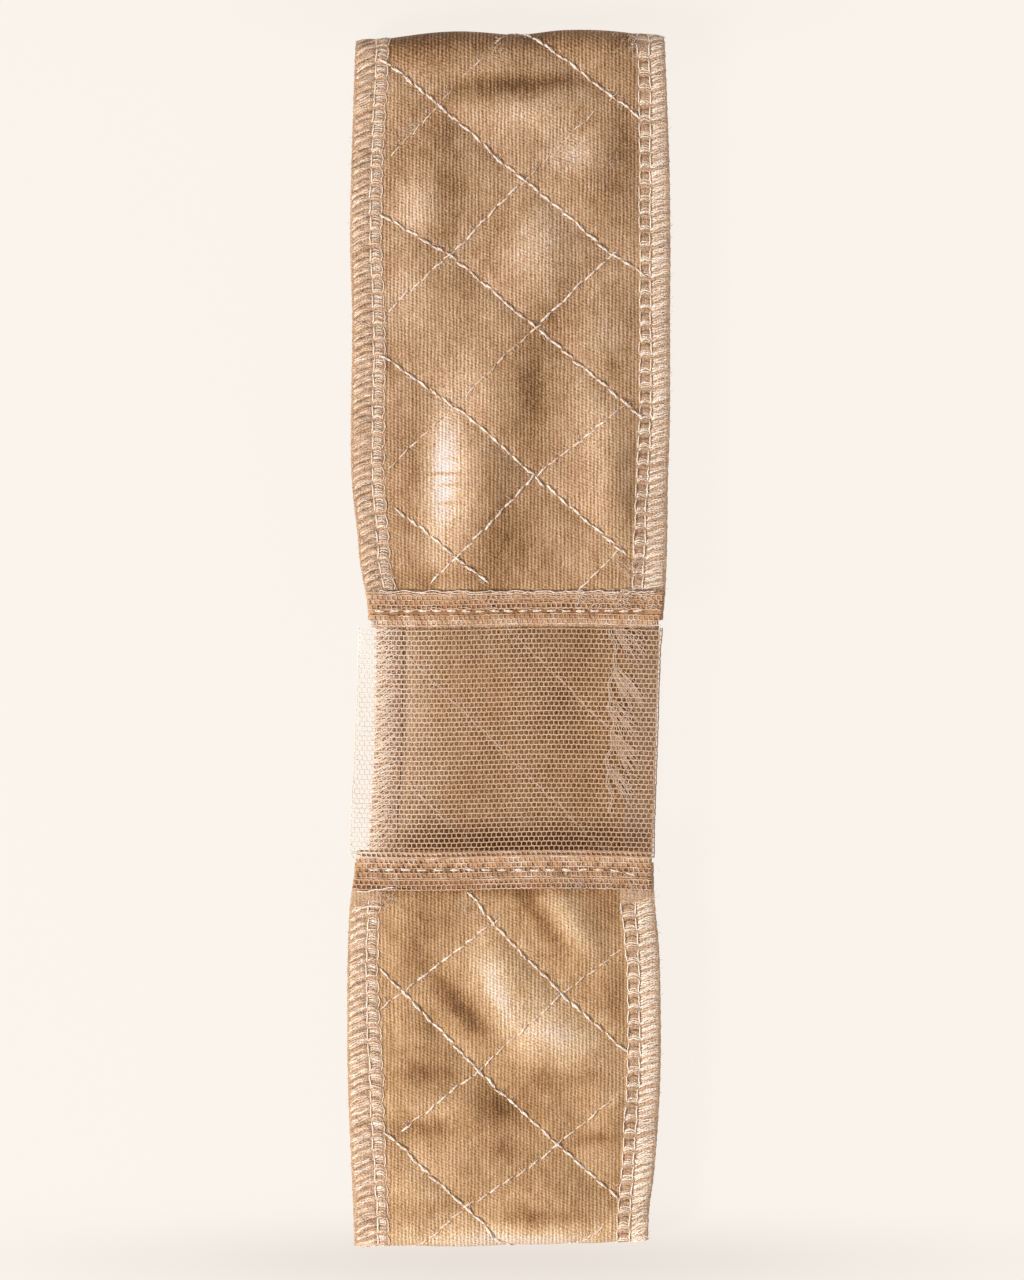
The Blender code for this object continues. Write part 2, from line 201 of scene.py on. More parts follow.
# Painted light and shade, partly nap lying another way, the first rows a painted glint: across, along, half
# width, half length, lean, lightening.
NAP_AND_PAINTED_SHADING = (
    (-13.6, 33.5, 3.3, 14.5, 0.05, 0.70),
    (-11.8, 33.0, 5.5, 17.0, 0.05, 0.30),
    (-13.4, 33.7, 3.4, 0.24, 0.00, -0.70),
    (-12.2, 31.3, 2.4, 0.20, 0.00, -0.55),
    (-12.6, 27.8, 2.2, 0.22, 0.00, -0.45),
    (-12.0, 36.8, 1.8, 0.18, 0.00, -0.35),
    (-19.3, 89.0, 4.0, 6.0, 0.00, 0.45),
    (6.4, 79.7, 5.5, 8.0, 0.00, 0.42),
    (5.3, 106.8, 11.0, 4.0, 0.00, 0.35),
    (11.9, 98.7, 5.0, 4.0, 0.00, 0.30),
    (-3.1, 117.6, 4.0, 2.6, 0.00, 0.30),
    (16.6, 43.8, 4.0, 10.0, 0.00, 0.25),
    (-8.0, 52.0, 5.0, 7.0, 0.00, 0.20),
    (-21.3, 69.4, 4.0, 6.0, 0.00, 0.30),
    (18.7, 62.3, 4.0, 5.0, 0.00, 0.20),
    (21.0, 18.6, 3.0, 4.0, 0.00, 0.20),
    (0.0, 123.5, 40.0, 4.6, 0.00, -0.50),
    (3.7, 113.3, 10.5, 1.9, 0.00, -0.75),
    (-16.8, 121.6, 8.0, 3.5, 0.00, -0.25),
    (23.5, 103.6, 3.0, 8.0, 0.00, -0.35),
    (-12.1, 94.5, 2.6, 11.0, 0.00, -0.35),
    (14.9, 105.7, 4.0, 2.0, 0.00, -0.20),
    (4.8, 52.0, 2.8, 11.0, 0.00, -0.55),
    (-1.0, 18.5, 5.5, 10.0, 0.15, -0.36),
    (24.8, 32.5, 2.4, 7.0, 0.00, -0.05),
    (-19.5, 33.0, 2.2, 10.0, 0.00, -0.22),
    (18.0, 33.0, 3.2, 10.0, 0.00, 0.28),
    (-18.5, 13.0, 8.0, 3.5, 0.00, -0.25),
    (4.6, -68.0, 3.2, 9.0, -0.39, 0.18),
    (20.0, 92.0, 4.0, 4.0, 0.00, -0.30),
    (10.0, 66.0, 4.0, 4.0, 0.00, -0.20),
    (-20.5, 98.0, 4.0, 6.0, 0.00, -0.15),
    (-3.2, -70.5, 3.6, 11.0, -0.39, 0.52),
    (0.5, -72.0, 7.0, 9.0, -0.39, 0.25),
    (12.7, -58.0, 3.0, 6.5, -0.45, 0.50),
    (10.5, -81.0, 9.0, 6.0, 0.00, 0.60),
    (20.7, -94.6, 4.0, 4.0, 0.00, 0.25),
    (0.0, -122.5, 28.0, 3.6, 0.00, 0.75),
    (-18.2, -111.0, 6.0, 6.0, 0.00, 0.30),
    (-14.0, -96.0, 5.0, 2.2, 0.00, 0.25),
    (5.7, -56.8, 2.2, 6.0, -0.75, -0.50),
    (20.7, -54.2, 2.6, 3.5, 0.00, -0.30),
    (-9.5, -75.6, 2.8, 7.5, -0.80, -0.66),
    (-16.9, -89.0, 6.0, 2.0, 0.00, -0.42),
    (-16.9, -100.0, 6.0, 2.0, 0.00, -0.40),
    (-1.5, -95.6, 6.0, 4.0, 0.00, -0.55),
    (-1.1, -104.4, 3.5, 2.2, 0.00, -0.40),
    (8.5, -89.6, 4.5, 2.5, 0.00, -0.40),
    (17.3, -102.2, 4.0, 1.5, 0.00, -0.40),
    (5.7, -118.3, 7.5, 2.0, 0.00, -0.45),
    (-18.0, -58.0, 5.0, 6.0, 0.00, -0.20),
    (22.0, -72.0, 2.0, 9.0, 0.00, -0.20),
    (-16.5, 104.5, 6.0, 5.0, 0.00, -0.18),
    (13.5, 98.5, 4.0, 3.4, 0.00, 0.30),
    (-20.3, 103.7, 2.4, 1.6, 0.00, 0.25),
    (-6.0, 111.5, 9.0, 2.0, 0.00, -0.22),
    (23.5, -49.0, 5.0, 5.0, 0.00, 0.20),
    (0.0, -51.6, 40.0, 1.1, 0.00, -0.32),
)

# Painted light and shade for the inner face that the net window shows, the low dark band a painted shadow,
# with Y in place of along.
INSIDE_NAP_AND_PAINTED_SHADING = (
    (0.0, -42.5, 36.0, 4.5, 0.00, -0.26),
    (26.0, -20.0, 3.5, 11.0, 0.00, -0.55),
    (-25.0, -14.0, 10.0, 24.0, 0.00, 0.62),
    (12.5, -14.0, 7.0, 24.0, 0.00, -0.30),
    (0.0, 1.0, 30.0, 5.0, 0.00, 0.16),
)

# Quilting lines: across, along, and the thread's strength on the leg that follows.
QUILT_LINES = {
    "upper": (
        ((-24.8, 145.5, 1.00), (4.3, 123.1, 0.95), (28.4, 104.8, 1.00)),
        ((-26.4, 119.6, 1.00), (3.3, 93.4, 1.00), (21.1, 78.4, 0.85), (28.4, 74.0, 1.00)),
        ((-26.4, 86.8, 0.95), (-10.5, 77.2, 1.00), (5.3, 63.7, 1.00), (28.4, 44.1, 1.00)),
        ((-26.4, 58.2, 0.90), (-9.0, 45.8, 1.00), (6.4, 32.1, 0.95), (24.4, 16.7, 1.00)),
        ((-23.4, 26.8, 0.90), (-10.7, 16.7, 0.95), (-2.7, 10.0, 1.00)),
        ((-24.2, 98.7, 0.30), (-16.6, 106.7, 0.22), (0.2, 124.8, 0.60), (26.0, 152.0, 0.60)),
        ((-24.8, 67.0, 0.50), (-11.7, 78.7, 0.80), (2.7, 93.2, 0.22), (16.8, 106.7, 0.15),
         (26.9, 115.6, 0.20)),
        ((-24.8, 34.6, 0.45), (-14.1, 44.8, 0.30), (3.9, 62.2, 0.85), (20.7, 78.2, 0.35),
         (25.6, 81.5, 0.40)),
        ((-16.2, 11.4, 0.60), (-10.0, 17.1, 0.80), (5.1, 33.1, 0.65), (21.1, 45.6, 0.40),
         (26.4, 50.0, 0.40)),
        ((14.4, 10.0, 0.60), (21.9, 17.6, 0.55), (25.2, 20.0, 0.50)),
    ),
    "lower": (
        ((-8.4, -51.6, 1.00), (-2.9, -58.7, 1.00), (11.9, -73.7, 0.90), (24.4, -84.7, 1.00)),
        ((-26.4, -67.3, 0.90), (-21.7, -72.0, 1.00), (-5.9, -88.8, 1.00), (10.0, -103.4, 1.00),
         (24.5, -116.5, 1.0)),
        ((-25.4, -100.7, 1.00), (-8.6, -116.1, 1.00), (-1.2, -123.3, 1.00), (24.0, -148.0, 1.00)),
        ((-26.2, -75.5, 0.45), (-18.5, -69.6, 0.65), (-3.3, -58.1, 0.35), (0.6, -55.2, 0.30)),
        ((-22.1, -100.7, 0.60), (-5.1, -87.4, 0.58), (10.7, -72.6, 0.42), (19.9, -65.9, 0.40),
         (23.8, -62.8, 0.4)),
        ((-26.0, -130.0, 0.60), (-18.7, -123.9, 0.60), (-8.6, -115.7, 0.60), (1.8, -109.3, 0.60),
         (10.0, -103.4, 0.55), (22.1, -93.1, 0.60)),
        ((-26.0, -152.0, 0.50), (15.6, -122.7, 0.30), (19.9, -119.8, 0.30)),
    ),
}

# The lines on the back: first place at the left, step, rise from left to right, count, strength.
BACK_LINES = {
    "upper": ((176.0, 30.5, -40.0, 3, 0.9), (130.5, 31.8, 47.0, 4, 0.5)),
    "lower": ((-133.5, -32.8, -47.0, 5, 0.25), (-173.4, -26.3, 50.7, 5, 1.0)),
}
BACK_HALF_WIDTH = 25.5

# Tufts of loose fibre: across, along, half width, half length, fibres.
TUFTS = (
    (13.0, 98.5, 3.6, 3.4, 46),
    (-20.3, 103.7, 2.2, 1.4, 20),
    (-2.9, 119.7, 1.8, 1.2, 14),
    (20.5, 97.8, 1.2, 1.0, 10),
    (-8.5, -55.0, 1.8, 1.8, 20),
    (15.0, -49.5, 8.0, 1.6, 70),
    (25.5, -50.5, 4.0, 3.4, 90),
    (-25.0, -53.5, 3.0, 2.0, 50),
    (25.0, 14.0, 3.0, 3.5, 60),
    (-25.5, 14.0, 3.0, 3.0, 50),
    (26.0, 121.0, 3.0, 2.0, 60),
)

# Strands of floss in one stitch of the overlock: place as a share of the pitch, tone. The two darkest are
# painted shade in the gaps between bundles.
STRANDS = (
    (0.00, 0.80),
    (0.06, 0.95),
    (0.12, 0.90),
    (0.19, 0.75),
    (0.26, 0.55),
    (0.50, 0.75),
    (0.56, 0.95),
    (0.63, 0.80),
    (0.70, 0.50),
    (0.38, 0.05),
    (0.86, 0.08),
)
# A strand's path: share of the way to the rim, height over the border.
STRAND_PATH = np.array((
    (0.0, -0.08), (0.14, 0.12), (0.30, 0.20), (0.46, 0.24),
    (0.62, 0.22), (0.78, 0.15), (0.92, -0.10), (1.0, -0.70),
))
# Rungs between the needle rows: place as a share of the pitch, tone, radius.
RUNGS = {
    "left": (
        (0.02, 0.70, 0.13), (0.11, 0.85, 0.14), (0.21, 0.65, 0.13), (0.40, 0.80, 0.13),
        (0.49, 0.92, 0.14), (0.58, 1.00, 0.14), (0.68, 0.92, 0.14), (0.79, 0.80, 0.13),
    ),
    "right": (
        (0.03, 1.00, 0.14), (0.11, 0.95, 0.13), (0.19, 1.00, 0.14), (0.28, 0.75, 0.12),
        (0.60, 0.15, 0.17), (0.88, 0.50, 0.13),
    ),
}
# Stitches of the needle rows: row, sway, radius, tone.
NEEDLE_STITCHES = {
    "left": (("outer", 0.06, 0.155, 1.05), ("inner", 0.38, 0.115, 0.85)),
    "right": (("outer", 0.06, 0.155, 1.05), ("inner", 0.14, 0.135, 1.0)),
}

# The overlock seen inside at the left: place as a share of the pitch, tone.
INNER_STRANDS = (
    (0.0, 0.8), (0.08, 0.9), (0.16, 0.85), (0.26, 0.7), (0.36, 0.7),
    (0.50, 0.9), (0.60, 0.85), (0.70, 0.7), (0.84, 0.6),
)
# Fans of floss inside at the right: Y of the top, drop, strands.
FANS = ((2.6, 6.5, 26), (-6.0, 7.5, 24), (-14.0, 6.0, 20), (-20.5, 7.0, 26), (-27.0, 6.0, 16))

# Profiles across each hem: distance from the window, height over the bed, tone, with painted shade and light
# along the rolls.
HEM_PROFILES = {
    "upper": np.array((
        (-0.5, 0.05, 0.60),
        (0.2, 0.13, 0.66),
        (0.9, 0.22, 0.58),
        (1.5, 0.26, 0.48),
        (2.1, 0.22, 0.42),
        (2.8, 0.14, 0.44),
        (3.4, 0.22, 0.42),
        (3.9, 0.24, 0.36),
        (4.6, 0.28, 0.46),
        (5.5, 0.26, 0.54),
        (6.3, 0.18, 0.58),
        (6.9, 0.05, 0.60),
    )),
    "lower": np.array((
        (-1.6, 0.05, 0.54),
        (-1.0, 0.20, 0.60),
        (0.0, 0.32, 0.62),
        (1.0, 0.38, 0.58),
        (1.8, 0.30, 0.52),
        (2.45, 0.14, 0.42),
        (3.1, 0.26, 0.46),
        (4.0, 0.34, 0.46),
        (4.7, 0.28, 0.38),
        (5.4, 0.14, 0.20),
        (6.3, 0.04, 0.34),
    )),
}
# Running stitches: distance from the window, pitch, length, and where the row starts and ends.
HEM_STITCHES = {"upper": (2.85, 2.93, 2.0, -27.3, 28.0), "lower": (2.45, 3.28, 2.2, -28.6, 27.0)}
HEM_INSETS = {"upper": (0.15 * MM, 0.40 * MM), "lower": (0.30 * MM, 0.50 * MM)}  # left, right
HEM_NET_INSET = 0.4 * MM  # at the right
# Rows of net on each hem, as start and end along from the window's edge: pale ones, shaded ones.
HEM_NET_ROWS = {"upper": ((3.3, 6.9), (0.1, 2.7)), "lower": ((-6.3, -4.2), (-3.9, 1.4))}
# Loose threads along the upper hem: distance from the window, radius, tone.
HEM_LOOSE = ((6.8, 0.15, 0.95), (6.4, 0.13, 0.75), (5.9, 0.10, 0.6), (5.0, 0.09, 0.45), (3.4, 0.09, 0.55))


def smooth(share):
    share = np.clip(share, 0.0, 1.0)
    return share * share * (3 - 2 * share)


def steps(points):
    """Shares from 0 to 1 as one row."""
    return np.linspace(0, 1, points)[None, :]


def hump(share):
    return np.sin(math.pi * share)


def jitter(count, low, high):
    """A column of random values."""
    return rng.uniform(low, high, (count, 1))


def shades(tone, count, low, high):
    """A tone for each of some threads, a little uneven."""
    return np.clip(tone + rng.uniform(low, high, count), 0, 1)


def table_value(table, place, column):
    """A column of a table at those places, on a smooth curve through its rows."""
    last = len(table) - 1
    place = np.clip(place, table[0, 0], table[last, 0])
    row = np.clip(np.searchsorted(table[:, 0], place, side="right") - 1, 0, last - 1)
    before, after = np.maximum(row - 1, 0), np.minimum(row + 2, last)
    at, value = table[:, 0], table[:, column]
    span = at[row + 1] - at[row]
    share = (place - at[row]) / span
    leaving = (value[row + 1] - value[before]) / (at[row + 1] - at[before]) * span
    arriving = (value[after] - value[row]) / (at[after] - at[row]) * span
    bend = leaving * share * (1 - share) ** 2 - arriving * share**2 * (1 - share)
    return value[row] + (value[row + 1] - value[row]) * smooth(share) + bend


def left_edge(along):
    """The left rim, tucked in where the two hems gather it."""
    rim = table_value(OUTLINE, along / BAND_LENGTH, 1) * BAND_WIDTH / 2
    upper = UPPER_TUCK * smooth(1 - (along - UPPER_START) / UPPER_TUCK_LENGTH)
    lower = LOWER_TUCK * smooth(1 - (LOWER_START - along) / LOWER_TUCK_LENGTH)
    return rim + upper * (along > WINDOW_TOP - TUCK_REACH) + lower * (along < WINDOW_BOTTOM + TUCK_REACH)


def right_edge(along):
    return table_value(OUTLINE, along / BAND_LENGTH, 2) * BAND_WIDTH / 2


def rim_place(along, from_rim, side):
    return left_edge(along) + from_rim if side == "left" else right_edge(along) - from_rim


def rim_distance(along, across):
    return np.minimum(across - left_edge(along), right_edge(along) - across)


def needle_row(along, side, row):
    """How far from the rim a needle row runs."""
    return table_value(NEEDLE_ROWS, along / MM, NEEDLE_COLUMNS[side, row]) * MM


def past_border(along, across):
    """How far a place is past the inner needle rows, into the quilted part."""
    left = across - left_edge(along) - needle_row(along, "left", "inner")
    right = right_edge(along) - across - needle_row(along, "right", "inner")
    return np.minimum(left, right) - 0.3 * MM


def band_turn(along):
    """How far round a fold a place is, from 0 on the front layer to half a turn on the back."""
    return np.clip((np.abs(along) - FOLD_START) / FOLD_RADIUS, 0.0, math.pi)


def frontness(along):
    """From 1 on the front layer to 0 on the back."""
    return (1 + np.cos(band_turn(along))) / 2


def in_sight(along):
    """Whether a place is on the front layer or on a fold."""
    return frontness(along) > 0.02


def outward(along):
    """The direction away from the middle of the loop."""
    turn = band_turn(along)
    side = np.where(along < 0, -1.0, 1.0)
    return np.stack((np.zeros_like(turn), side * np.sin(turn), np.cos(turn)), axis=-1)


def surface(along, across, rise):
    """Points at those places on the loop."""
    along, across, rise = np.broadcast_arrays(*(np.asarray(a, float) for a in (along, across, rise)))
    run = np.abs(along)
    side = np.where(along < 0, -1.0, 1.0)
    centre = np.where(run <= FOLD_END, np.minimum(run, FOLD_START), HALF_LOOP - run)
    reached = smooth((centre - FOLD_START + END_REACH) / END_REACH)
    share = across / (BAND_WIDTH / 2)
    stray = np.where(along < 0, table_value(END_LINES, share, 2), table_value(END_LINES, share, 1))
    y = side * (centre + END_WANDER * stray * reached)
    middle = np.stack((across, y, np.full_like(run, BAND_HEIGHT / 2)), axis=-1)
    return middle + outward(along) * (FOLD_RADIUS + rise)[..., None]


def bumps(rows, along, across):
    """The sum of soft bumps, from the rows of a table."""
    total = np.zeros(np.broadcast(along, across).shape)
    for at_x, at_y, half_x, half_y, lean, height in rows:
        up = along / MM - at_y
        over = across / MM - at_x - lean * up
        total += height * np.exp(-((over / half_x) ** 2) - (up / half_y) ** 2)
    return total


# Waves of the crush: pitch, heading, phase.
WAVES = [(rng.uniform(0.25, 1.1), rng.uniform(0, TURN), rng.uniform(0, TURN)) for _ in range(14)]


def wrinkle(along, across):
    """Small uneven waves, about -1 to 1, that stand in for the crush of used cloth."""
    total = np.zeros(np.broadcast(along, across).shape)
    for pitch, heading, phase in WAVES:
        travel = (across * math.cos(heading) + along * math.sin(heading)) / MM
        total += np.sin(travel * pitch + phase) / (1 + pitch * 2)
    return total / 2.2


def relief(along, across):
    """How far the front layer's folds, crush and rippled borders lift the cloth."""
    fade = smooth((FOLD_START - np.abs(along)) / FOLD_RADIUS)
    folds = bumps(FOLDS, along, across) * MM + CRUSH * wrinkle(along, across)
    near_rim = np.clip(1 - rim_distance(along, across) / (2 * EDGE_WIDTH), 0, 1)
    ripple = RIPPLE * near_rim * (np.sin(along / (2.9 * MM)) + 0.6 * np.sin(along / (1.37 * MM) + 1))
    return folds * fade + ripple * frontness(along)


def base_rise(along, across, panel):
    """The rise of a panel's middle, which drops at the lap to make room for the other panel."""
    lift = relief(along, across)
    if panel == "upper":
        lift = lift - LAP_LIFT * smooth((along - RAMP_START) / LAP_RAMP)
    return lift


def quilt_lines(panel):
    """Every stitch line of a panel, as rows of across, along (both in metres) and strength."""
    lines = [np.array(points) * (MM, MM, 1) for points in QUILT_LINES[panel]]
    for first, step, gain, count, strength in BACK_LINES[panel]:
        for at in (first + step * i for i in range(count)):
            ends = ((-BACK_HALF_WIDTH, at, strength), (BACK_HALF_WIDTH, at + gain, strength))
            lines.append(np.array(ends) * (MM, MM, 1))
    return lines


def line_place(along, across, line):
    """The distance from each place to a line, how far along the line it is, and the strength there."""
    best = np.full(np.broadcast(along, across).shape, 1.0)
    run, strength = np.zeros_like(best), np.zeros_like(best)
    before = 0.0
    for (x, y, leg), end in zip(line[:-1], line[1:]):
        way_x, way_y = end[0] - x, end[1] - y
        length = math.hypot(way_x, way_y)
        share = np.clip(((across - x) * way_x + (along - y) * way_y) / length**2, 0, 1)
        near = np.hypot(across - x - share * way_x, along - y - share * way_y)
        closer = near < best
        run = np.where(closer, before + share * length, run)
        strength = np.where(closer, leg, strength)
        best = np.minimum(best, near)
        before += length
    return best, run, strength


def swelling(along, across, panel):
    """The quilting's swelling, from 0 on a stitch line to nearly 1, and the dents of the stitches."""
    falling = np.full(np.broadcast(along, across).shape, 1.0)
    rising = falling.copy()
    dents = np.zeros_like(falling)
    for line in quilt_lines(panel):
        near, run, strength = line_place(along, across, line)
        if line[-1, 1] < line[0, 1]:
            falling = np.minimum(falling, near)
        else:
            rising = np.minimum(rising, near)
        hole = 0.5 + 0.5 * np.cos(TURN * run / QUILT_STITCH)
        dents += strength * np.exp(-((near / (0.5 * MM)) ** 2)) * (0.6 + 0.8 * hole)
        dents += 0.5 * strength * np.exp(-((near / (1.3 * MM)) ** 2)) * hole
    if panel == "upper":
        start, end = along - WINDOW_TOP - HEM_WIDTH, RAMP_START - along
    else:
        start, end = WINDOW_BOTTOM - HEM_WIDTH - along, along - LOWER_LAP_START
    swell = np.ones_like(falling)
    for distance in (falling, rising, start, end, past_border(along, across)):
        swell = swell * (1 - np.exp(-np.maximum(distance, 0) / PUFF_REACH))
    return swell, dents


def wall(along, across, panel):
    """The rises of the outer and inner face of a panel, from rim to rim."""
    middle = base_rise(along, across, panel)
    swell, dents = swelling(along, across, panel)
    front = frontness(along)
    puff = PUFF_OUTSIDE * swell - DENT_OUTSIDE * dents
    outer = CLOTH / 2 + puff * (0.1 + 0.9 * front**2) * (front > 0.001)
    inner = CLOTH / 2 + PUFF_INSIDE * swell - DENT_INSIDE * dents
    from_rim = rim_distance(along, across)
    half = RIM_HALF + BORDER_HALF * np.sqrt(np.clip(from_rim / (1.5 * MM), 0, 1))
    settled = (CLOTH / 2 - half) * (1 - front)
    heave = np.sin(TURN * along / STITCH + from_rim / MM) * front * np.clip(from_rim / MM, 0, 1)
    border = 1 - smooth(past_border(along, across) / (0.8 * MM) + 0.8)
    outer = outer + (settled + half + 0.14 * MM * heave - outer) * border
    inner = inner + (half - settled - inner) * border
    return middle + outer, middle - inner


def on_panel(along, across, panel, lift, inside=False):
    """The rise of something that lies on a panel's outer or inner face."""
    outer, inner = wall(along, across, panel)
    return inner - lift if inside else outer + lift


def quads_between(grid):
    return np.stack((grid[:-1, :-1], grid[:-1, 1:], grid[1:, 1:], grid[1:, :-1]), axis=-1).reshape(-1, 4)


def signed_volume(verts, polys):
    total = 0.0
    for poly in polys:
        corner = verts[poly]
        for i in range(1, poly.shape[1] - 1):
            total += np.einsum("ij,ij->i", corner[:, 0], np.cross(corner[:, i], corner[:, i + 1])).sum()
    return total / 6


def make(name, verts, polys, material, uv=None, values=None):
    """A mesh piece that rides with the band. values are shader attributes, one number a point."""
    polys = [np.asarray(p) for p in polys if len(p)]
    if signed_volume(verts, polys) < 0:
        polys = [p[:, ::-1] for p in polys]
    corners = np.concatenate([p.ravel() for p in polys])
    sizes = np.concatenate([np.full(len(p), p.shape[1]) for p in polys])
    mesh = bpy.data.meshes.new(name)
    mesh.vertices.add(len(verts))
    mesh.vertices.foreach_set("co", np.asarray(verts, np.float32).ravel())
    mesh.loops.add(len(corners))
    mesh.loops.foreach_set("vertex_index", corners.astype(np.int32))
    mesh.polygons.add(len(sizes))
    mesh.polygons.foreach_set("loop_start", np.concatenate(([0], np.cumsum(sizes)[:-1])).astype(np.int32))
    mesh.update(calc_edges=True)
    if uv is not None:
        layer = mesh.uv_layers.new(name="cloth")
        layer.data.foreach_set("uv", np.asarray(uv, np.float32)[corners].ravel())
    for key, value in (values or {}).items():
        attribute = mesh.attributes.new(key, "FLOAT", "POINT")
        attribute.data.foreach_set("value", np.asarray(value, np.float32).ravel())
    mesh.validate()
    mesh.shade_smooth()
    mesh.materials.append(material)
    piece = bpy.data.objects.new(name, mesh)
    bpy.context.scene.collection.objects.link(piece)
    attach(piece, "root")
    return piece


def shell_polys(rows, columns):
    """The faces of a closed wall over a grid: its top, its underside and its rim."""
    top = np.arange(rows * columns).reshape(rows, columns)
    under = top + rows * columns
    rim_top = np.concatenate((top[0, :-1], top[:-1, -1], top[-1, :0:-1], top[:0:-1, 0]))
    rim_under = rim_top + rows * columns
    rim = np.stack((rim_top, rim_under, np.roll(rim_under, -1), np.roll(rim_top, -1)), axis=-1)
    return [quads_between(top), quads_between(under)[:, ::-1], rim]


def shell(along, across, outer, inner):
    """The points, faces and places of a closed wall between two rises."""
    along = np.broadcast_to(along, across.shape)
    faces = [surface(along, across, rise).reshape(-1, 3) for rise in (outer, inner)]
    place = np.stack((across, along), axis=-1).reshape(-1, 2)
    return np.concatenate(faces), shell_polys(*across.shape), np.concatenate((place, place))


def unit(vectors, least):
    return vectors / np.maximum(np.linalg.norm(vectors, axis=-1, keepdims=True), least)


def per_point(value, shape):
    """A value for every point, from one value in all, one a tube or one a point."""
    value = np.asarray(value, float)
    return np.broadcast_to(value.reshape(-1, 1) if value.ndim == 1 else value, shape)


class Threads:
    """Many tubes gathered into one mesh."""

    def __init__(self):
        self.verts, self.polys, self.tones, self.places, self.count = [], [], [], [], 0

    def add(self, along, across, rise, radius, tone, sides=4):
        """Tubes through rows of places."""
        along, across, rise = (np.atleast_2d(a) for a in np.broadcast_arrays(along, across, rise))
        radius, tone = per_point(radius, along.shape), per_point(tone, along.shape)
        path = surface(along, across, rise)
        way = unit(np.gradient(path, axis=1), 1e-12)
        side = unit(np.cross(way, outward(along)), 1e-9)
        lift = np.cross(side, way)
        angles = (np.arange(sides) + 0.5) / sides * TURN
        around = side[:, :, None] * np.cos(angles)[:, None] + lift[:, :, None] * np.sin(angles)[:, None]
        ring = path[:, :, None] + radius[:, :, None, None] * around
        grid = self.count + np.arange(along.size * sides).reshape(*along.shape, sides)
        following = np.roll(grid, -1, axis=2)
        quads = np.stack((grid[:, :-1], following[:, :-1], following[:, 1:], grid[:, 1:]), axis=-1)
        self.polys += [quads.reshape(-1, 4), grid[:, 0, ::-1], grid[:, -1]]
        self.verts.append(ring.reshape(-1, 3))
        self.tones.append(np.repeat(tone.reshape(-1), sides))
        length = np.cumsum(np.linalg.norm(np.diff(path, axis=1, prepend=path[:, :1]), axis=-1), axis=1)
        place = np.stack((length, np.zeros_like(length)), axis=-1)
        self.places.append(np.repeat(place.reshape(-1, 2), sides, axis=0))
        self.count += along.size * sides

    def piece(self, name, material, slot):
        polys = {}
        for poly in self.polys:
            polys.setdefault(poly.shape[1], []).append(poly)
        faces = [np.concatenate(p) for p in polys.values()]
        verts, places = np.concatenate(self.verts), np.concatenate(self.places)
        return make(name, verts, faces, material, places, {"tone": np.concatenate(self.tones)})


class Nodes:
    """A small helper that builds a material's nodes."""

    def __init__(self, name):
        self.material = bpy.data.materials.new(name)
        self.material.use_nodes = True
        self.tree = self.material.node_tree
        self.shader = self.tree.nodes["Principled BSDF"]

    def new(self, kind, settings=None, inputs=None):
        node = self.tree.nodes.new(kind)
        for key, value in (settings or {}).items():
            setattr(node, key, value)
        for key, value in (inputs or {}).items():
            self.feed(node, key, value)
        return node

    def feed(self, node, key, value):
        if isinstance(value, bpy.types.NodeSocket):
            self.tree.links.new(value, node.inputs[key])
        else:
            node.inputs[key].default_value = value

    def maths(self, operation, first, second=0.0, third=0.0):
        inputs = {0: first, 1: second, 2: third}
        return self.new("ShaderNodeMath", {"operation": operation}, inputs).outputs[0]

    def times(self, value, factor):
        return self.maths("MULTIPLY", value, factor)

    def scaled(self, value, factor, more):
        return self.maths("MULTIPLY_ADD", value, factor, more)

    def between(self, value, low, high):
        return self.maths("MINIMUM", self.maths("MAXIMUM", value, low), high)

    def wave(self, phase):
        """A sine wave from 0 to 1."""
        return self.scaled(self.maths("SINE", phase), 0.5, 0.5)

    def mix(self, share, first, second, blend="MIX"):
        settings = {"data_type": "RGBA", "blend_type": blend}
        return self.new("ShaderNodeMix", settings, {0: share, 6: first, 7: second}).outputs[2]

    def ramp(self, value, *stops):
        """A colour from stops of place and red, green, blue."""
        node = self.new("ShaderNodeValToRGB", None, {"Fac": value})
        while len(node.color_ramp.elements) < len(stops):
            node.color_ramp.elements.new(0.5)
        for element, (at, *colour) in zip(node.color_ramp.elements, stops):
            element.position = at
            element.color = srgb(*colour)
        return node.outputs[0]

    def stretch(self, vector, scale):
        return self.new("ShaderNodeMapping", None, {"Vector": vector, "Scale": scale}).outputs[0]

    def noise(self, vector, scale, detail=2.0, rough=0.5):
        """Noise with that many cells a unit of length, each way."""
        inputs = {"Vector": self.stretch(vector, scale), "Scale": 1.0, "Detail": detail, "Roughness": rough}
        return self.new("ShaderNodeTexNoise", None, inputs).outputs[0]

    def object_place(self):
        return self.new("ShaderNodeTexCoord").outputs["Object"]

    def split(self, vector):
        return self.new("ShaderNodeSeparateXYZ", None, {0: vector}).outputs

    def cloth_place(self):
        return self.new("ShaderNodeUVMap", {"uv_map": "cloth"}).outputs[0]

    def value(self, name):
        return self.new("ShaderNodeAttribute", {"attribute_name": name}).outputs["Fac"]

    def bump(self, height, distance, strength=1.0):
        inputs = {"Height": height, "Distance": distance, "Strength": strength}
        return self.new("ShaderNodeBump", None, inputs).outputs[0]

    def finish(self, colour, roughness, normal=None, **constants):
        self.feed(self.shader, "Base Color", colour)
        self.feed(self.shader, "Roughness", roughness)
        if normal is not None:
            self.feed(self.shader, "Normal", normal)
        for key, value in constants.items():
            self.shader.inputs[key.replace("_", " ")].default_value = value
        return self.material


def srgb(red, green, blue):
    """A linear colour from red, green and blue out of 255."""
    def channel(value):
        value /= 255
        return value / 12.92 if value <= 0.04045 else ((value + 0.055) / 1.055) ** 2.4

    return (channel(red), channel(green), channel(blue), 1.0)


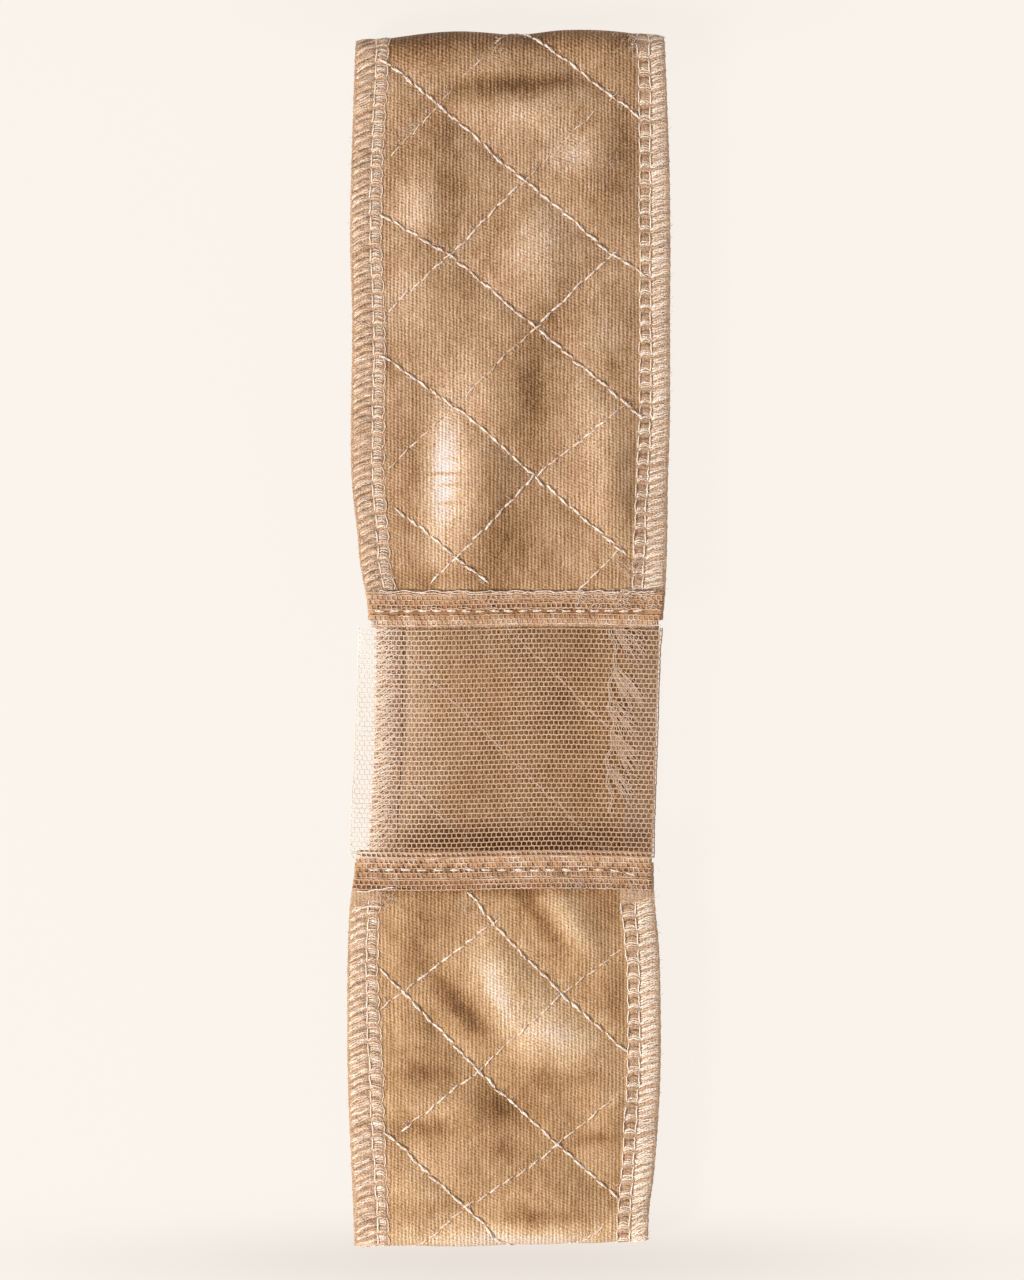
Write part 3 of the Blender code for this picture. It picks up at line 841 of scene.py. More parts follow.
def knit_waves(n, place, across, along):
    """The wavering ribs and rows of loops of the knit, and their wobble."""
    drift = n.noise(place, (0.25, 0.09, 1))
    wobble = n.noise(place, (1.1, 1.5, 1), 2.0, 0.6)
    phase = n.scaled(across, TURN / RIB_PITCH, n.times(drift, 6.0))
    phase = n.scaled(wobble, 3.4, phase)
    knit_phase = n.scaled(along, TURN / COURSE_PITCH, n.times(phase, 0.5))
    knit_phase = n.scaled(wobble, 4.0, knit_phase)
    return n.wave(phase), n.wave(knit_phase), wobble


def knit_grain(n, place, rib, knit, loops, lit):
    """Fine light and dark of the knit, around 0. The ribs fade in and out."""
    fade = n.noise(place, (0.32, 0.2, 1), 2.0, 0.6)
    depth = n.scaled(lit, -0.12, n.scaled(fade, 0.68, -0.09))
    fine = n.times(n.maths("SUBTRACT", rib, 0.5), n.maths("MAXIMUM", depth, 0.06))
    fine = n.scaled(knit, 0.13, fine)
    fine = n.scaled(loops, 0.82, fine)
    fine = n.scaled(n.noise(place, (4.4, 1.6, 1), 2.0, 0.65), 0.56, fine)
    fine = n.scaled(n.noise(place, (1.9, 0.22, 1), 2.0, 0.6), 0.36, fine)
    return n.maths("SUBTRACT", fine, 0.935)


def velvet_colour(n, place, along, fine, light, lit):
    """The quilted part: clouds, blotches, nap with painted light and shade, a painted warm cast low down,
    and a painted glint where it is lightest.
    """
    cloud = n.noise(place, (0.15, 0.1, 1), 3.0, 0.6)
    blotch = n.noise(place, (0.6, 0.42, 1), 4.0, 0.65)
    high = n.between(n.scaled(along, 0.008, 0.4), 0.0, 1.0)
    level = n.scaled(cloud, 0.40, n.times(blotch, 0.36))
    level = n.maths("ADD", level, n.scaled(light, 0.46, 0.03))
    level = n.scaled(fine, n.scaled(lit, 0.9, n.scaled(high, 0.21, 0.82)), level)
    colour = n.ramp(
        level,
        (0.00, 96, 60, 28),
        (0.22, 147, 105, 64),
        (0.45, 190, 149, 109),
        (0.70, 225, 189, 154),
        (0.98, 250, 230, 208),
    )
    # A painted warm cast low down and a cool one high up.
    painted_warm_cast = n.mix(high, (1.0, 0.995, 0.93, 1.0), (0.985, 1.0, 1.07, 1.0))
    colour = n.mix(1.0, colour, painted_warm_cast, "MULTIPLY")
    # A painted glint: pinkish white where the painted light is strongest.
    glint = n.between(n.times(n.maths("SUBTRACT", light, 0.52), 1.8), 0.0, 0.75)
    return n.mix(n.times(glint, n.maths("MINIMUM", level, 1.0)), colour, srgb(236, 223, 225))


def border_furrows(n, across, along, wobble):
    """Slanting furrows of the overlock, where no floss is laid as geometry, with painted shade in them."""
    sweep = n.scaled(across, 0.9, n.scaled(wobble, 1.6, along))
    return n.times(n.value("bare"), n.wave(n.times(sweep, TURN / 1.6)))


def velvet_material():
    """Ribbed knit velvet with painted light and shade, crushed and fuzzy where the overlock holds its
    border.
    """
    n = Nodes("velvet")
    place = n.stretch(n.cloth_place(), (1000, 1000, 1000))
    across, along, _ = n.split(place)
    border = n.value("border")
    rib, knit, wobble = knit_waves(n, place, across, along)
    loops = n.noise(place, (2.3, 2.5, 1), 3.0, 0.7)
    crush = n.noise(place, (1.3, 2.6, 1), 3.0, 0.7)
    pile = n.noise(place, (3.4, 3.8, 1), 3.0, 0.75)
    # Painted light and shade from the nap patches, broken up by the crush.
    light = n.times(n.value("nap_and_painted_shading"), n.scaled(crush, 1.1, 0.45))
    lit = n.maths("MAXIMUM", light, 0.0)
    fine = knit_grain(n, place, rib, knit, loops, lit)
    furrow = border_furrows(n, across, along, wobble)
    fuzz = n.scaled(pile, 0.75, n.times(crush, 0.45))
    fuzzy = n.ramp(fuzz, (0.36, 148, 106, 70), (0.56, 198, 158, 122), (0.84, 238, 212, 190))
    # Painted shade in the furrows.
    fuzzy = n.mix(n.times(furrow, 0.55), fuzzy, srgb(150, 108, 74))
    colour = n.mix(border, velvet_colour(n, place, along, fine, light, lit), fuzzy)
    height = n.maths("ADD", n.times(rib, 0.66), n.times(loops, 1.4))
    height = n.scaled(knit, 0.30, height)
    height = n.scaled(n.times(pile, border), 2.0, height)
    height = n.scaled(n.times(furrow, border), -2.5, height)
    return n.finish(
        colour,
        n.scaled(light, -0.10, 0.64),
        n.bump(height, 0.00014, 0.9),
        Specular_IOR_Level=0.34,
        Sheen_Weight=0.15,
        Sheen_Roughness=0.45,
        Sheen_Tint=srgb(255, 232, 220),
    )


def thread_material(name, dark, middle, light, roughness, twist):
    """Thread whose lightness comes with each strand."""
    n = Nodes(name)
    fibre = n.noise(n.object_place(), (3400, 3400, 3400), 3.0, 0.7)
    tone = n.maths("ADD", n.value("tone"), n.scaled(fibre, 1.1, -0.55))
    ply = n.maths("SINE", n.times(n.split(n.cloth_place())[0], TURN / twist))
    return n.finish(
        n.ramp(tone, (0.0, *dark), (0.5, *middle), (1.0, *light)),
        roughness,
        n.bump(n.maths("ADD", ply, n.times(fibre, 1.5)), 0.00004, 0.6),
        Specular_IOR_Level=0.3,
        Sheen_Weight=0.25,
        Sheen_Roughness=0.5,
        Sheen_Tint=srgb(255, 224, 196),
    )


def net_material():
    """Fine nylon thread, a little cloudy."""
    n = Nodes("net")
    place = n.object_place()
    fibre = n.noise(place, (1800, 1800, 1800), 2.0, 0.6)
    cloud = n.noise(place, (90, 60, 60))
    level = n.scaled(fibre, 0.5, n.scaled(cloud, 0.3, -0.4))
    level = n.maths("ADD", level, n.value("tone"))
    return n.finish(
        n.ramp(level, (0.0, 112, 84, 68), (0.5, 214, 174, 140), (1.0, 252, 238, 224)),
        0.6,
        n.bump(fibre, 0.00004, 0.5),
        Specular_IOR_Level=0.35,
        Sheen_Weight=0.2,
        Sheen_Roughness=0.5,
        Sheen_Tint=srgb(255, 226, 200),
    )


def hem_material():
    """Layers of net pressed together. The tone carries the rows, the half-closed holes and painted shade at
    the stitches and along the rolls.
    """
    n = Nodes("folded_net")
    place = n.stretch(n.cloth_place(), (1000, 1000, 1000))
    patchy = n.noise(place, (0.5, 0.9, 1), 3.0, 0.65)
    fibre = n.noise(place, (3.6, 4.4, 1), 3.0, 0.7)
    level = n.scaled(patchy, 0.35, n.scaled(fibre, 0.75, -0.55))
    level = n.maths("ADD", level, n.value("tone"))
    stops = (0.0, 96, 62, 36), (0.3, 164, 117, 79), (0.6, 208, 165, 125), (1.0, 246, 220, 192)
    return n.finish(
        n.ramp(level, *stops),
        0.78,
        n.bump(fibre, 0.00014, 0.8),
        Specular_IOR_Level=0.3,
        Sheen_Weight=0.2,
        Sheen_Roughness=0.5,
    )


def fastener_material():
    """Woven loops of the hidden patch."""
    n = Nodes("fastener")
    inputs = {"Vector": n.object_place(), "Scale": 900.0}
    loops = n.new("ShaderNodeTexVoronoi", None, inputs).outputs["Distance"]
    colour = n.ramp(loops, (0.1, 222, 196, 166), (0.8, 158, 122, 88))
    return n.finish(colour, 0.9, n.bump(loops, 0.0002, 0.6), Specular_IOR_Level=0.2)


def floor_patch(n, along, half_across, half_along):
    """A soft spot on the floor, 1 in its middle."""
    inputs = {
        "Vector": n.object_place(),
        "Location": (0, along, 0),
        "Scale": (half_across, half_along, 1),
    }
    moved = n.new("ShaderNodeMapping", {"vector_type": "TEXTURE"}, inputs).outputs[0]
    length = n.new("ShaderNodeVectorMath", {"operation": "LENGTH"}, {0: moved}).outputs["Value"]
    return n.maths("POWER", math.e, n.times(length, n.times(length, -1.0)))


def floor_material():
    """A pale floor that glows evenly, with soft painted shadows past the ends of the band."""
    n = Nodes("floor")
    shadow = n.times(floor_patch(n, -0.1285, 0.085, 0.0075), 0.19)
    shadow = n.scaled(floor_patch(n, 0.133, 0.060, 0.012), 0.045, shadow)
    glow = (0.908, 0.852, 0.792, 1.0)
    n.feed(n.shader, "Emission Color", n.mix(shadow, glow, srgb(92, 66, 44)))
    n.shader.inputs["Emission Strength"].default_value = 1.0
    return n.finish(srgb(63, 60, 57), 0.95, Specular_IOR_Level=0.0)


VELVET = velvet_material()
NET = net_material()
HEM = hem_material()
COTTON = thread_material("stitch_thread", (154, 114, 82), (222, 190, 162), (250, 234, 220), 0.6, 0.0008)
FLOSS = thread_material("overlock_floss", (146, 104, 68), (224, 189, 158), (253, 238, 222), 0.8, 0.0006)


def spread(start, end, step):
    """Places from start to end, at most a step apart."""
    return np.linspace(start, end, max(2, int(math.ceil(abs(end - start) / step)) + 1))


def run_of(*parts):
    """Places along one panel, from parts of start, end and step."""
    return np.concatenate([spread(*parts[0])] + [spread(*part)[1:] for part in parts[1:]])


# The rows of each panel's mesh, closer where more is seen.
FRONT_STEP = 0.6 * MM
BACK_STEP = 2.0 * MM
SEEN_LOW, SEEN_HIGH = WINDOW_BOTTOM - 6 * MM, WINDOW_TOP + 6 * MM
PANELS = {
    "upper": run_of(
        (UPPER_START, FOLD_START, FRONT_STEP),
        (FOLD_START, FOLD_END, FRONT_STEP),
        (FOLD_END, UPPER_END, BACK_STEP),
    ),
    "lower": run_of(
        (LOWER_START, -FOLD_START, FRONT_STEP),
        (-FOLD_START, -FOLD_END, FRONT_STEP),
        (-FOLD_END, -HALF_LOOP - SEEN_LOW, 1.6 * MM),
        (-HALF_LOOP - SEEN_LOW, -HALF_LOOP - SEEN_HIGH, 0.8 * MM),
        (-HALF_LOOP - SEEN_HIGH, LOWER_END, BACK_STEP),
    ),
}
BORDER_COLUMNS = np.array((0, 0.12, 0.35, 0.8, 1.4, 2.1, 2.8, 3.5, 4.2, 4.9, 5.6))[None, :] * MM
MIDDLE_COLUMNS = 98


def panel_columns(along):
    """The places across of a panel's mesh, closer set in its slightly ragged borders."""
    left, right = left_edge(along), right_edge(along)
    inset = BORDER_COLUMNS[0, -1]
    middle = left + inset + (right - left - 2 * inset) * steps(MIDDLE_COLUMNS)
    borders = left + BORDER_COLUMNS[:, :-1], right - BORDER_COLUMNS[:, -2::-1]
    across = np.concatenate((borders[0], middle, borders[1]), axis=1)
    ragged = 0.08 * MM * np.sin(along / (0.31 * MM)) * np.sin(along / (1.13 * MM))
    across[:, :2] += ragged
    across[:, -2:] -= ragged
    return across


def add_panel(panel):
    """The velvet from rim to rim, with its borders."""
    along = PANELS[panel][:, None]
    across = panel_columns(along)
    along = np.broadcast_to(along, across.shape)
    outer, inner = wall(along, across, panel)
    verts, polys, places = shell(along, across, outer, inner)
    # Painted light and shade, partly nap, outside and on the inner face that the window shows.
    nap_and_painted_shading = bumps(NAP_AND_PAINTED_SHADING, along, across).ravel()
    inside_nap_and_painted_shading = bumps(INSIDE_NAP_AND_PAINTED_SHADING, -HALF_LOOP - along, across).ravel() * (panel == "lower")
    border = (1 - smooth(past_border(along, across) / (0.5 * MM) + 0.9)).ravel()
    values = {
        "nap_and_painted_shading": np.concatenate((nap_and_painted_shading, inside_nap_and_painted_shading)),
        "border": np.concatenate((border, border)),
        "bare": np.concatenate(((1 - frontness(along)).ravel(), np.ones(across.size))),
    }
    piece = make(panel + "_velvet", verts, polys, VELVET, places, values)
    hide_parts(panel + "_panel", f"{panel}_left_edge", f"{panel}_right_edge")
    return piece


def quilt_range(panel):
    """Where along the band a panel's quilting starts and ends."""
    if panel == "upper":
        return UPPER_START + HEM_WIDTH - 1.2 * MM, UPPER_END - 1 * MM
    return LOWER_END + 1 * MM, LOWER_START - HEM_WIDTH + 1.2 * MM


def stitch_points(line, points):
    """The points of each stitch along a line, the way across it and each one's strength."""
    legs = np.linalg.norm(np.diff(line[:, :2], axis=0), axis=1)
    at = np.concatenate(([0.0], np.cumsum(legs)))
    length = QUILT_STITCH_LENGTH
    starts = np.arange((QUILT_STITCH - length) / 2, at[-1] - length, QUILT_STITCH)
    share = starts[:, None] + np.linspace(0, length, points)[None, :]
    across = np.interp(share, at, line[:, 0])
    along = np.interp(share, at, line[:, 1])
    way = np.gradient(np.stack((across, along)), axis=2)
    normal = np.stack((-way[1], way[0])) / np.maximum(np.hypot(*way), 1e-9)
    leg = np.clip(np.searchsorted(at, starts + length / 2) - 1, 0, len(legs) - 1)
    return along, across, normal, line[leg, 2]


def kept_stitches(panel, line, points):
    """The stitches of a line that lie on the panel, less some that are lost in the pile."""
    low, high = quilt_range(panel)
    along, across, normal, strength = stitch_points(line, points)
    middle_along, middle_across = along.mean(axis=1), across.mean(axis=1)
    kept = (middle_along > low) & (middle_along < high)
    kept &= past_border(middle_along, middle_across) > -0.6 * MM
    kept &= rng.uniform(0, 1, len(kept)) < 0.60 + 0.8 * strength
    return along[kept], across[kept], normal[:, kept], strength[kept]


def add_stitches(threads, panel, along, across, normal, strength):
    """Two-ply stitches, on the inside too where the back lies."""
    count, points = along.shape
    q = steps(points)
    arch = hump(q) ** 0.5
    firm = strength[:, None]
    sunk = jitter(count, -0.05, 0.10) + (1 - firm) * 0.13
    lift = (0.04 + 0.27 * arch - sunk) * MM
    tone = shades(0.58 + 0.42 * strength, count, -0.25, 0.15)
    uneven = rng.uniform(0.72, 1.28, (count, points))
    thick = (0.100 + 0.118 * firm) * MM * (0.62 + 0.38 * arch) * uneven
    turn = jitter(count, 0, math.pi) + 2.6 * math.pi * q * (0.4 + 0.6 * jitter(count, 0, 1))
    slant = jitter(count, -0.26, 0.26) * (2 * q - 1) * MM + rng.normal(0, 0.10, (count, 1)) * MM
    slant = slant + rng.normal(0, 0.05, (count, points)) * MM
    for ply in (0, math.pi):
        sway = slant + (0.04 + 0.09 * firm) * MM * np.cos(turn + ply) * arch
        a, c = along + normal[1] * sway, across + normal[0] * sway
        front = frontness(a)
        lay = (lift + 0.05 * MM * np.sin(turn + ply)) * (0.2 + 0.8 * front) - 0.10 * MM * (1 - front)
        threads.add(a, c, on_panel(a, c, panel, lay), thick, tone * (0.9 if ply else 1.0))
        back = ~in_sight(a[:, 0])
        if ply == 0 and back.any():
            a, c = a[back], c[back]
            rise = on_panel(a, c, panel, lay[back], inside=True)
            threads.add(a, c, rise, 1.2 * thick[back], tone[back] - 0.15)


def add_stitch_hairs(threads, panel, along, across):
    """Fine hairs that stand out of the stitches at those middles."""
    hairs = rng.choice(np.arange(len(along)), len(along) * STITCH_HAIRS)
    count = len(hairs)
    q = steps(4)
    hair_along = along[hairs][:, None] + jitter(count, -1.2, 1.2) * MM
    hair_across = across[hairs][:, None] + jitter(count, -0.3, 0.3) * MM
    head = jitter(count, 0, TURN)
    size = jitter(count, 0.25, 0.75) * MM
    hair_along = hair_along + size * q * np.sin(head) + 0.4 * size * q**2
    hair_across = hair_across + size * q * np.cos(head) - 0.3 * size * q**2
    rise = on_panel(hair_along, hair_across, panel, (0.05 + 0.2 * hump(q)) * MM)
    threads.add(hair_along, hair_across, rise, 0.044 * MM, rng.uniform(0.70, 1.0, count), sides=3)


def add_tuft(threads, panel, at_x, at_y, half_x, half_y, fibres):
    """Curled loose fibres. Those beside a hem lie on top of it."""
    low, high = quilt_range(panel)
    q = steps(6)
    head = jitter(fibres, 0, TURN) + q * jitter(fibres, -3.0, 3.0)
    step = jitter(fibres, 0.12, 0.42) * MM
    start = (at_x + half_x * rng.normal(0, 0.55, (fibres, 1))) * MM
    across = start + np.cumsum(step * np.cos(head), axis=1)
    start = (at_y + half_y * rng.normal(0, 0.55, (fibres, 1))) * MM
    along = start + np.cumsum(step * np.sin(head), axis=1)
    near = np.clip(along, low - 8 * MM, high + 8 * MM)
    rise = on_panel(near, across, panel, (0.05 + jitter(fibres, 0.1, 0.5) * hump(q)) * MM)
    rise = rise + 0.45 * MM * (np.abs(along - (low if panel == "upper" else high)) < 7 * MM)
    threads.add(near, across, rise, 0.034 * MM, rng.uniform(0.65, 1.0, fibres), sides=3)


def add_quilting(panel):
    """The quilting stitches of a panel, their hairs and the tufts on it."""
    threads = Threads()
    for line in quilt_lines(panel):
        along, across, normal, strength = kept_stitches(panel, line, 7)
        if not len(along):
            continue
        add_stitches(threads, panel, along, across, normal, strength)
        seen = in_sight(along[:, 3])
        if seen.any():
            add_stitch_hairs(threads, panel, along[seen, 3], across[seen, 3])
    for tuft in TUFTS:
        if (tuft[1] > 0) == (panel == "upper"):
            add_tuft(threads, panel, *tuft)
    return threads.piece(panel + "_quilting", COTTON, "overlock_thread")


def lay_by_rim(threads, panel, side, along, from_rim, lift, radius, tone, sides=4, inside=False):
    """Tubes beside a rim. Past it they keep the rise of the cloth's edge."""
    on_cloth = rim_place(along, np.maximum(from_rim, RIM_CATCH), side)
    rise = on_panel(along, on_cloth, panel, lift, inside)
    threads.add(along, rim_place(along, from_rim, side), rise, radius, tone, sides)


def add_strands(lay, panel, side, at):
    """Strands of floss from the outer needle row over the rim, fewer and thicker on the back."""
    # Painted light: the right border's floss, and the lower panel's, lightened as if lit more.
    painted_side_light = (0.42 if side == "right" else 0.03) + (0.12 if panel == "lower" else 0.0)
    q, over = STRAND_PATH.T[0][None, :], STRAND_PATH.T[1][None, :] * MM
    lean = -1.75 * MM * q**1.5 if side == "left" else 1.15 * MM * (1 - (1 - q) ** 1.5)
    front = in_sight(at + STITCH / 2)
    for places, strands, thickness in ((at[front], STRANDS, 1.0), (at[~front], STRANDS[1::2], 1.5)):
        count = len(places)
        for place, tone in strands if count else ():
            # Dark strands paint the shade between bundles.
            dark = tone < 0.1
            along = places[:, None] + (place + jitter(count, -0.04, 0.04)) * STITCH
            along = along + lean * (1.0 if dark else jitter(count, 0.9, 1.1))
            along = along + 0.13 * MM * np.sin(q * jitter(count, 6, 14) + jitter(count, 0, 6))
            overhang = jitter(count, -0.50, 0.0) * MM
            start = needle_row(along, side, "outer") - jitter(count, 0.0, 0.4) * MM
            from_rim = start * (1 - q) - overhang * q**6
            lift = 0.8 * over * jitter(count, 0.3, 1.1) + jitter(count, -0.16, 0.0) * MM
            radius = jitter(count, 0.11, 0.19) * MM * thickness * (1 - 0.2 * q)
            shade = shades(0.04 + 0.72 * tone + painted_side_light, count, -0.18, 0.18)
            lay(along, from_rim, lift * (0.3 if dark else 1.0), radius, shade)


def add_rungs(lay, side, at):
    """Threads between the two needle rows."""
    q = steps(6)
    count = len(at)
    for place, tone, radius in RUNGS[side]:
        along = at[:, None] + (place + jitter(count, -0.06, 0.06)) * STITCH + 0.35 * MM * hump(q)
        along = along + 0.08 * MM * np.sin(q * jitter(count, 6, 12) + jitter(count, 0, 6))
        outer_row, inner_row = needle_row(along, side, "outer"), needle_row(along, side, "inner")
        from_rim = outer_row + (inner_row - outer_row) * q
        lift = (-0.10 + jitter(count, 0.1, 0.26) * hump(q)) * MM
        lay(along, from_rim, lift, radius * MM, shades(tone, count, -0.25, 0.15))


def add_needle_rows(lay, side, at):
    """The two rows of needle stitches along a border."""
    q = steps(7)
    arch = hump(q) ** 0.5
    count = len(at)
    along = at[:, None] + (0.04 + 0.93 * q) * STITCH
    for row, sway, radius, tone in NEEDLE_STITCHES[side]:
        from_rim = needle_row(along, side, row) + sway * MM * hump(q) + jitter(count, -0.12, 0.12) * MM
        from_rim = from_rim + jitter(count, -0.14, 0.14) * (2 * q - 1) * MM
        from_rim = from_rim + rng.normal(0, 0.05, (count, 7)) * MM
        lift = (-0.12 + jitter(count, 0.26, 0.36) * arch) * MM
        radius = radius * MM * (0.65 + 0.35 * arch)
        lay(along, from_rim, lift, radius, shades(tone, count, -0.2, 0.05), sides=5)


def add_border_hairs(lay, side, at):
    """Hairs all over a border, and a few past its rim."""
    count = len(at) * BORDER_HAIRS
    q = steps(4)
    inner_row = np.repeat(needle_row(at, side, "inner"), BORDER_HAIRS)[:, None]
    start = inner_row * jitter(count, 0.0, 1.06) ** 1.15
    along = np.repeat(at, BORDER_HAIRS)[:, None] + jitter(count, 0.0, 1.0) * STITCH
    heading = jitter(count, -0.9, 0.9) + (-0.5 if side == "left" else 0.5)
    heading = heading + math.pi * (jitter(count, 0, 1) > 0.5)
    size = jitter(count, 0.35, 1.0) * MM
    curl = jitter(count, -0.6, 0.6)
    from_rim = start - size * q * np.cos(heading) + curl * size * q**2 * np.sin(heading)
    from_rim = np.maximum(from_rim, -0.65 * MM)
    along = along + size * q * np.sin(heading) + curl * size * q**2 * np.cos(heading)
    lift = (jitter(count, 0.0, 0.28) + 0.12 * hump(q)) * MM - 0.5 * np.maximum(-from_rim, 0)
    lay(along, from_rim, lift, 0.046 * MM * (1 - 0.4 * q), rng.uniform(0.30, 0.95, count), sides=3)


def add_edge_threads(panel, side):
    """The overlock of one border: floss, rungs, two needle rows and fine hairs."""
    threads = Threads()
    if panel == "upper":
        first, last = UPPER_START + HEM_WIDTH - 0.6 * MM, UPPER_END - 1.2 * MM
    else:
        first, last = LOWER_END + 1.2 * MM, LOWER_START - HEM_WIDTH - 0.9 * MM
    at = np.arange(first, last - STITCH, STITCH)
    at = at + rng.uniform(-0.06, 0.06, len(at)) * STITCH

    def lay(along, from_rim, lift, radius, tone, sides=4):
        lift = lift * (0.25 + 0.75 * frontness(along))
        lay_by_rim(threads, panel, side, along, from_rim, lift, radius, tone, sides)

    add_strands(lay, panel, side, at)
    add_rungs(lay, side, at)
    add_needle_rows(lay, side, at)
    add_border_hairs(lay, side, at[in_sight(at + STITCH / 2)])
    return threads.piece(f"{panel}_{side}_threads", FLOSS, "overlock_thread")


def add_inner_overlock(lay, at):
    """Floss and a needle row inside, at the left."""
    q = steps(8)
    count = len(at)
    for place, tone in INNER_STRANDS:
        y = at[:, None] + (place + jitter(count, -0.08, 0.08)) * STITCH
        y = y - STITCH * q * jitter(count, 0.3, 0.9) + 0.2 * MM * np.sin(q * jitter(count, 4, 9))
        from_rim = jitter(count, 3.2, 5.4) * MM * (1 - q) - 0.3 * MM * q**4
        lift = (0.02 + 0.25 * hump(q)) * MM
        shade = shades(tone, count, -0.2, 0.2)
        lay(y, from_rim, "left", lift, jitter(count, 0.09, 0.15) * MM, shade)
    from_rim = 5.4 * MM + jitter(count, -0.1, 0.1) * MM
    lay(at[:, None] + STITCH * q, from_rim, "left", 0.1 * MM, 0.11 * MM, rng.uniform(0.0, 0.3, count))


def add_inner_fans(lay, high):
    """Inside at the right, a wavering line with fans of floss that leave it."""
    y = spread(high, WINDOW_BOTTOM + 9 * MM, 0.5 * MM)[None, :]
    sway = 0.55 * MM * np.sin(y / (2.4 * MM)) + 0.35 * MM * np.sin(y / (0.83 * MM))
    for offset, radius, tone in ((9.6, 0.25, 0.82), (9.15, 0.19, 0.66)):
        lay(y, offset * MM + sway, "right", 0.25 * MM, radius * MM, tone)
    q = steps(8)
    for top, drop, strands in FANS:
        y = top * MM + jitter(strands, -1.6, 1.6) * MM - drop * MM * q * jitter(strands, 0.5, 1.1)
        from_rim = 9.4 * MM - 6.6 * MM * q**0.8 * jitter(strands, 0.35, 1.05)
        lift = (0.05 + 0.3 * hump(q)) * MM
        radius = jitter(strands, 0.11, 0.19) * MM
        lay(y, from_rim, "right", lift, radius, rng.uniform(0.50, 0.86, strands))


def add_inner_hairs(lay, low, high):
    """Loose hairs inside, along the left rim."""
    hairs = INNER_HAIRS
    q = steps(4)
    start = jitter(hairs, low, high)
    reach = 3.4 * MM * jitter(hairs, 0, 1) - q * jitter(hairs, 0.4, 1.5) * MM
    y = start + q * jitter(hairs, -0.8, 0.8) * MM
    lift = (0.1 + 0.25 * q) * MM
    lay(y, np.maximum(reach, -0.8 * MM), "left", lift, 0.05 * MM, rng.uniform(0.5, 0.9, hairs), sides=3)


def add_inner_threads():
    """The overlock on the inner face of the back layer, where the net lets it be seen."""
    threads = Threads()
    low, high = WINDOW_BOTTOM - 5 * MM, WINDOW_TOP + 5 * MM

    def lay(y, from_rim, side, lift, radius, tone, sides=4):
        lay_by_rim(threads, "lower", side, -HALF_LOOP - y, from_rim, lift, radius, tone, sides, inside=True)

    add_inner_overlock(lay, np.arange(low, high, STITCH))
    add_inner_fans(lay, high)
    add_inner_hairs(lay, low, high)
    return threads.piece("inner_threads", FLOSS, "overlock_thread")


def net_rise(along, across):
    """The net's rise, with its sag between the hems."""
    share = np.clip((along - WINDOW_BOTTOM) / WINDOW_LENGTH, 0, 1)
    sag = NET_SAG * hump(share) ** 2
    crush = 0.08 * MM * wrinkle(along * 2, across * 2)
    return relief(along, across) + CLOTH / 2 + SEAM_GAP + NET_LIFT - sag + crush


def net_tone_with_painted_shading(along, across):
    """Painted light and shade on the net: paler where only the floor is behind and towards the left, with
    painted shade along the right edge, in a band right of the middle and low down.
    """
    pale = smooth((-26.0 * MM - across) / (2.2 * MM))
    edge_shade = smooth((across - right_edge(along) + 2.2 * MM) / (2.2 * MM))
    low = smooth((WINDOW_BOTTOM + 9 * MM - along) / (8 * MM))
    glow = smooth((-9.0 * MM - across) / (18 * MM)) * (1 - pale)
    band_shade = np.exp(-(((across - 13.5 * MM) / (6.5 * MM)) ** 2))
    return 0.55 + 0.33 * pale + 0.22 * glow - 0.08 * band_shade - 0.12 * edge_shade - 0.10 * low * (1 - pale)


def add_lattice(threads, start, end, rise, radius, tone, left, right):
    """Rows of net between two places along. rise, tone, left and right are functions of the place."""
    rows = np.arange(start, end, CELL_ALONG)
    count = int(math.ceil(BAND_WIDTH / CELL_ACROSS)) + 2
    for i, along in enumerate(rows):
        columns = (np.arange(2 * count + 1) / 2 - count / 2 + 0.5 * (i % 2)) * CELL_ACROSS
        zigzag = np.where(np.arange(len(columns)) % 2 == 0, 0.06, -0.06) * MM
        bend = 0.25 * MM * np.sin(columns / (9 * MM) + 0.5)
        low, high = float(left(np.array(along))), float(right(np.array(along)))
        kept = (columns > low + 0.2 * MM) & (columns < high - 0.2 * MM)
        inner = kept.sum()
        if inner < 3:
            continue
        across = np.concatenate(([low], columns[kept] + rng.uniform(-0.05, 0.05, inner) * MM, [high]))
        place = along + bend[kept] + zigzag[kept] + rng.uniform(-0.05, 0.05, inner) * MM
        place = np.concatenate(([place[0]], place, [place[-1]]))
        thick = radius * rng.uniform(0.9, 1.2, len(across))
        threads.add(place, across, rise(place, across), thick[None, :], tone(place, across)[None, :])
        if i + 1 < len(rows):
            crests = kept & (zigzag > 0)
            up = 0.05 * MM + np.array((0.0, 0.5, 1.0)) * (CELL_ALONG - 0.10 * MM)
            up = (along + bend[crests])[:, None] + up
            over = columns[crests][:, None] + rng.uniform(-0.08, 0.08, (crests.sum(), 3)) * MM
            threads.add(up, over, rise(up, over), radius * 0.82, tone(up, over) - 0.04)


